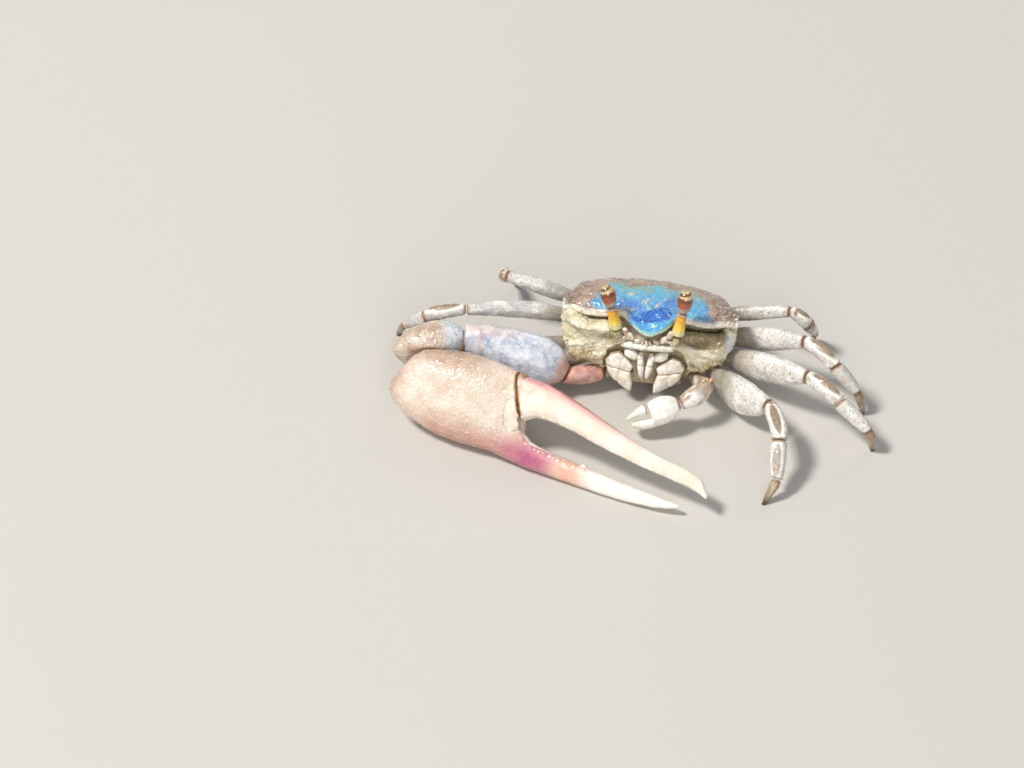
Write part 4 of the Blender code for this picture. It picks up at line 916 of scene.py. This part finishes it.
def build_small_claw():
    """The small white claw held at the mouth."""
    finish = small_claw_finish()
    for segment in SMALL_CLAW_SEGMENTS:
        node, name = f"claw_small_{segment}", f"small_{segment}"
        is_palm = segment == "palm"
        piece, points = remeshed(node, name, voxel=0.07, passes=7) if is_palm else rounded(node, name)
        raise_by(piece, 0.02 * grain(points, 0.5, 3) + 0.04 * grain(points, 1.2, 9))
        brown = step(grain(points, 0.9, 12), -0.35, 0.35) * {"merus": 0.9, "carpus": 0.8}.get(segment, 0.0)
        if segment == "carpus":
            brown = np.maximum(brown, 0.85 * near_joint(piece, node, 1.6, "claw_small_merus"))
        others = ["claw_small_carpus"] if is_palm else []
        joint = near_joint(piece, node, JOINT_BAND, *others) * 0.7
        if segment == "dactyl":
            joint *= step(points[:, 0] - points[:, 0].max(), -1.1, -0.6)
        tip = 0 * brown
        if is_palm or segment == "dactyl":
            tip = step(points[:, 0].min() + 1.6 - points[:, 0], 0, 1.2)
        finished(piece, finish, "claw_small", node, brown=brown, joint=joint, tip=tip * 0.6)


# Where the limbs' segments meet

LIMB_SEGMENTS = {f"leg_{side}_{number}": LEG_SEGMENTS for side, number in LEGS}
LIMB_SEGMENTS["claw_large"] = ("ischium", "merus", "carpus", "palm", "dactyl")
LIMB_SEGMENTS["claw_small"] = SMALL_CLAW_SEGMENTS
LIMBS = [["sternum"] + [f"{limb}_{segment}" for segment in segments]
         for limb, segments in LIMB_SEGMENTS.items()]
MEETING_REACH = 0.5
GAP = 0.3
JOINT_MARGIN = 0.5
MEETINGS = {}
SURFACES = {}


def chain(node):
    """The nodes that a limb's node meets at its two ends."""
    for nodes in LIMBS:
        if node in nodes:
            i = nodes.index(node)
            return nodes[max(i - 1, 0):i] + nodes[i + 1:i + 2]
    return []


def surface(node):
    """A search tree of a node's faces, in millimetres."""
    if node not in SURFACES:
        mesh = CADNODES[node].data
        faces = [tuple(face.vertices) for face in mesh.polygons]
        SURFACES[node] = BVHTree.FromPolygons([v.co / MM for v in mesh.vertices], faces)
    return SURFACES[node]


def far_from(node, points):
    """How far each point lies from a node's faces."""
    return np.array([surface(node).find_nearest(Vector(p))[3] for p in points])


def onto(node, points):
    """The nearest place on a node's faces to each point."""
    return np.array([surface(node).find_nearest(Vector(p))[0] for p in points])


def meeting(a, b):
    """Where two nodes meet: its middle, the way from a to b, its long axis, half its width and depth."""
    if (a, b) in MEETINGS:
        return MEETINGS[a, b]
    here, there = node_points(a), node_points(b)
    away_here, away_there = far_from(b, here), far_from(a, there)
    reach = MEETING_REACH
    while (away_here < reach).sum() < 4 and (away_there < reach).sum() < 4:
        reach *= 1.3
    rings = [ring for ring in (here[away_here < reach], there[away_there < reach]) if len(ring) > 3]
    middle = np.mean([ring.mean(axis=0) for ring in rings], axis=0)
    spread = np.vstack([ring - ring.mean(axis=0) for ring in rings])
    axes = np.linalg.eigh(spread.T @ spread)[1]
    way = axes[:, 0] * math.copysign(1, axes[:, 0] @ (there.mean(axis=0) - here.mean(axis=0)))
    wide, deep = (min(np.abs(ring @ axes[:, i] - ring.mean(axis=0) @ axes[:, i]).max() for ring in rings)
                  for i in (2, 1))
    MEETINGS[a, b] = (Vector(middle), Vector(way), Vector(axes[:, 2]), wide, deep)
    return MEETINGS[a, b]


def near_joint(piece, node, width, *others):
    """How near each point is to the nodes its piece meets: 1 at the joint, 0 at this width from it."""
    points = points_of(piece)
    near = np.zeros(len(points))
    for other in others or chain(node):
        middle, _, _, wide, _ = meeting(node, other)
        reach = wide + width + JOINT_MARGIN
        close = np.flatnonzero(np.linalg.norm(points - np.array(middle), axis=1) < reach)
        away = far_from(other, points[close])
        near[close] = np.maximum(near[close], fade(away - GAP, width * 0.5, width))
    return near


# The legs

# The oval's middle and half sizes, as a share of the segment's length and in millimetres across it
OVAL_CENTRE = (0.52, 0.12)
OVAL_SIZE = (0.46, 0.52)


def oval_patch(piece, node):
    """A dark oval along a leg segment's upper face, and the pale line round it."""
    before, after = chain(node)
    start, end = np.array(meeting(node, before)[0]), np.array(meeting(node, after)[0])
    length = np.linalg.norm(end - start)
    way = (end - start) / length
    up = np.array((0, 0, 1)) - way * way[2]
    up = up / np.linalg.norm(up)
    aside = np.cross(way, up)
    aside = aside * math.copysign(1, aside[1])
    points = points_of(piece)
    along = (points - start) @ way / length
    from_middle = points - (start + end) / 2
    across, height = from_middle @ aside, from_middle @ up
    reach = ((along - OVAL_CENTRE[0]) / OVAL_SIZE[0]) ** 2 + ((across - OVAL_CENTRE[1]) / OVAL_SIZE[1]) ** 2
    top = step(height, -0.1, 0.2)
    return fade(reach, 0.55, 1.1) * top, bump(reach, 1.4, 0.4) * top


def build_legs():
    """Every leg segment subdivided, grained and marked."""
    for side, number in LEGS:
        for segment in LEG_SEGMENTS:
            node = f"leg_{side}_{number}_{segment}"
            piece, points = rounded(node, node.replace("leg_", "leg_shell_"))
            joint = near_joint(piece, node, JOINT_BAND)
            if segment == "dactyl":
                raise_by(piece, 0.02 * grain(points, 0.3))
                finished(piece, TOE, "toe", node, joint=joint, tip=step(1.2 - points[:, 2], 0, 1.0))
                continue
            bumps = np.clip(grain(points, 0.3, number), 0, 1)
            raise_by(piece, (0.09 * bumps + 0.05 * grain(points, 1.2, 4)) * (1 - joint))
            tall = points[:, 2].max() - points[:, 2].min()
            top = step((points[:, 2] - points.mean(axis=0)[2]) / tall, 0.0, 0.35)
            oval = halo = inner = 0 * joint
            if segment == "merus":
                x, forward, _ = in_body(points)
                # Painted shade near the body, where its shadow falls, with some of the roots' own tint
                inner = fade(np.hypot(x, forward), 10.5, 13.5)
            else:
                oval, halo = oval_patch(piece, node)
            fainter = 1.0 if segment == "carpus" else 0.7 if number == 1 else 0.15
            finished(piece, LEG, "leg", node, joint=joint * 0.85, oval=oval * fainter, halo=halo * fainter,
                     olive=inner * (0.75 + 0.25 * grain(points, 1.0, 15)),
                     dusk=(0.45 if side == "right" else 0.1) * step(grain(points, 1.6, 9), -0.4, 0.4),
                     blush=0.6 * bump(grain(points, 1.4, 7), 0.5, 0.25) * (1 - top))


# Bristles and joint skins

BRISTLES = 170
SPINES = 9
SPINE_PLACE = Vector((7.3, -7.07, -4.99))
SPINE_WAY = (0.5, 0.3, 0.7)
BRISTLE_DROOP = 0.3
BRISTLE_SIDES = 3
# How far along a bristle each ring lies, and its share of the full radius
BRISTLE_RINGS = ((-0.2, 1.0), (0.35, 0.85), (0.7, 0.55))
UNWRAP_SPAN = 26.0
TUFT_PATCH = 0.003


def coat(name, roots, ways, lengths, radius, finish, slot):
    """Tapered bristles in one piece, each with its own small patch of the baking map."""
    bm = bmesh.new()
    patch = bm.loops.layers.uv.new("OFBake")
    places = within(np.asarray(roots), BODY_FRAME)
    corner_numbers = range(BRISTLE_SIDES)
    for root, way, length, place in zip(roots, ways, lengths, places):
        way = Vector(way).normalized()
        aside = way.orthogonal().normalized()
        other = way.cross(aside)
        corners = {}
        rings = []
        for share, wide in BRISTLE_RINGS:
            centre = Vector(root) + way * length * share - UP * BRISTLE_DROOP * length * share**2
            ring = []
            for k in corner_numbers:
                angle = 2 * math.pi * k / BRISTLE_SIDES
                out = aside * math.cos(angle) + other * math.sin(angle)
                corner = bm.verts.new(centre + out * radius * wide)
                corners[corner] = (share, k / BRISTLE_SIDES)
                ring.append(corner)
            rings.append(ring)
        tip = bm.verts.new(Vector(root) + way * length - UP * BRISTLE_DROOP * length)
        corners[tip] = (1.0, 0.5)
        faces = [bm.faces.new(rings[0][::-1])]
        for low, high in zip(rings, rings[1:]):
            faces += [bm.faces.new((low[k], low[k - 2], high[k - 2], high[k])) for k in corner_numbers]
        faces += [bm.faces.new((rings[-1][k], rings[-1][k - 2], tip)) for k in corner_numbers]
        u, v = 0.5 + place[0] / UNWRAP_SPAN, 0.5 + (place[2] + 4) / UNWRAP_SPAN
        for face in faces:
            for loop in face.loops:
                share, k = corners[loop.vert]
                loop[patch].uv = (u + TUFT_PATCH * (k - 0.5), v + TUFT_PATCH * (share * 0.8 - 0.4))
    bmesh.ops.recalc_face_normals(bm, faces=bm.faces)
    mesh = bpy.data.meshes.new(name)
    bm.to_mesh(mesh)
    bm.free()
    finished(add_object(name, mesh), finish, slot)


def build_bristles():
    """Golden bristles under the cheeks and orange spines on the small claw's wrist."""
    finish = bristle_finish()
    mesh = CADNODES["face"].data
    centres = np.array([f.center for f in mesh.polygons]) / MM
    normals = np.array([f.normal for f in mesh.polygons])
    areas = np.array([f.area for f in mesh.polygons])
    x, forward, height = in_body(centres)
    for side, sign in SIDES:
        lower = (x * sign > 4.4) & (x * sign < 9.6) & (forward > 1.5) & (height < -4.0) & (height > -7.2)
        chosen = RANDOM.choice(np.flatnonzero(lower), BRISTLES, p=areas[lower] / areas[lower].sum())
        roots = onto("face", centres[chosen] + RANDOM.normal(0, 0.25, (BRISTLES, 3)))
        outward = normals[chosen] + RANDOM.normal(0, 0.35, (BRISTLES, 3))
        outward = outward + np.array((0.25 * sign, -0.3, -0.3))
        lengths = RANDOM.uniform(0.4, 0.95, BRISTLES)
        coat(f"cheek_bristles_{side}", roots, outward, lengths, 0.035, finish, "face")
    roots = np.array(BODY_FRAME @ SPINE_PLACE) + RANDOM.normal(0, 0.32, (SPINES, 3))
    roots = onto("claw_small_carpus", roots)
    outward = np.array(SPINE_WAY) + RANDOM.normal(0, 0.25, (SPINES, 3))
    lengths = RANDOM.uniform(0.5, 0.8, SPINES)
    coat("wrist_spines", roots, outward, lengths, 0.07, spine_finish(), "claw_small")


# The sleeve's profile: the first radius, then each next radius and the rise to it
SLEEVE_START = 0.8
SLEEVE_RINGS = ((0.93, 0.2), (0.99, 0.16), (0.94, 0.14), (0.99, 0.14), (0.93, 0.16), (0.8, 0.2))
SKIN_FIT = 0.93
FINGER_SKIN_FIT = 0.8
SKIN_LENGTH = 1.0


def joint_skin_model():
    """A short ribbed sleeve of soft skin, one wide and one long, turned from a profile."""
    bpy.ops.mesh.primitive_circle_add(vertices=28, radius=SLEEVE_START, location=(0, 0, -0.5))
    obj = bpy.context.object
    activate(obj)
    bpy.ops.object.mode_set(mode="EDIT")
    bpy.ops.mesh.select_all(action="SELECT")
    radius = SLEEVE_START
    for wider, rise in SLEEVE_RINGS:
        bpy.ops.mesh.extrude_region_move(TRANSFORM_OT_translate={"value": (0, 0, rise)})
        ratio = wider / radius
        bpy.ops.transform.resize(value=(ratio, ratio, 1), center_override=(0, 0, 0))
        radius = wider
    bpy.ops.object.mode_set(mode="OBJECT")
    bm = bmesh.new()
    bm.from_mesh(obj.data)
    bmesh.ops.holes_fill(bm, edges=[e for e in bm.edges if len(e.link_faces) < 2], sides=0)
    bmesh.ops.recalc_face_normals(bm, faces=bm.faces)
    bm.to_mesh(obj.data)
    bm.free()
    return obj


def build_joint_skins():
    """Soft skin in the joints, copied from one model and fitted to the faces that meet there."""
    model = joint_skin_model()
    skin = skin_finish()
    for limb in LIMBS:
        for a, b in zip(limb, limb[1:]):
            if b == "claw_small_dactyl":
                continue
            middle, way, wide_axis, wide, deep = meeting(a, b)
            piece = add_object(f"joint_skin_{b}", model.data.copy())
            fit = FINGER_SKIN_FIT if b == "claw_large_dactyl" else SKIN_FIT
            turn = Matrix((wide_axis * wide * fit, way.cross(wide_axis) * deep * fit, way * SKIN_LENGTH))
            piece.data.transform(Matrix.Translation(middle) @ turn.transposed().to_4x4())
            slot = "claw_small" if "small" in b else "claw_large_arm" if "large" in b else "leg"
            finished(piece, skin, slot)
    bpy.data.objects.remove(model)


# Floor, light and camera

# Each light's name, place, size, power and colour
LIGHTS = (
    ("key light", (-0.55, -0.05, 0.9), 0.2, 11.0, (1.0, 0.97, 0.93)),
    ("fill light", (0.1, -0.9, 0.45), 0.6, 4.0, (1.0, 0.99, 0.97)),
    ("back light", (0.4, 0.7, 0.6), 0.4, 1.1, (1.0, 1.0, 1.0)),
)
SKY_COLOUR = (0.85, 0.92, 1.0, 1)
SKY_STRENGTH = 0.3
FLOOR_SIZE = 4


def build_stage():
    """The pale floor, the sky's soft light and three lamps."""
    bpy.ops.mesh.primitive_plane_add(size=FLOOR_SIZE, location=(0, 0, 0))
    floor = bpy.context.object
    floor.name = "floor"
    floor.data.materials.append(Finish("pale floor", first="#C6C2BB").done(0.7))
    world = bpy.context.scene.world or bpy.data.worlds.new("studio")
    bpy.context.scene.world = world
    world.use_nodes = True
    world.node_tree.nodes["Background"].inputs["Color"].default_value = SKY_COLOUR
    world.node_tree.nodes["Background"].inputs["Strength"].default_value = SKY_STRENGTH
    for name, place, size, power, colour in LIGHTS:
        data = bpy.data.lights.new(name, "AREA")
        data.energy = power
        data.size = size
        data.color = colour
        light = add_object(name, data)
        light.location = place
        light.rotation_euler = (-Vector(place)).to_track_quat("-Z", "Y").to_euler()


def build_camera():
    """The photograph's view, through a long lens."""
    data = bpy.data.cameras.new("camera")
    data.sensor_width = 36
    data.lens = data.sensor_width * VIEW_DISTANCE / FIELD_WIDTH
    data.clip_start = 0.01
    data.clip_end = 10
    camera = add_object("camera", data)
    back = Vector((0, -math.cos(VIEW_RISE), math.sin(VIEW_RISE)))
    camera.location = (CRAB_AT + VIEW_TARGET + back * VIEW_DISTANCE) * MM
    camera.rotation_euler = (-back).to_track_quat("-Z", "Y").to_euler()
    bpy.context.scene.camera = camera
    bpy.context.scene.view_settings.view_transform = "Standard"


LEG, TOE, STALK, EYE = leg_finish(), toe_finish(), stalk_finish(), eye_finish()
deselect()
build_camera()
build_stage()
build_back_shell()
build_face()
build_underside()
build_mouth()
build_eyes()
build_feelers()
build_front_lobes()
build_large_arm()
build_large_palm()
build_large_finger()
build_small_claw()
build_legs()
build_joint_skins()
build_bristles()
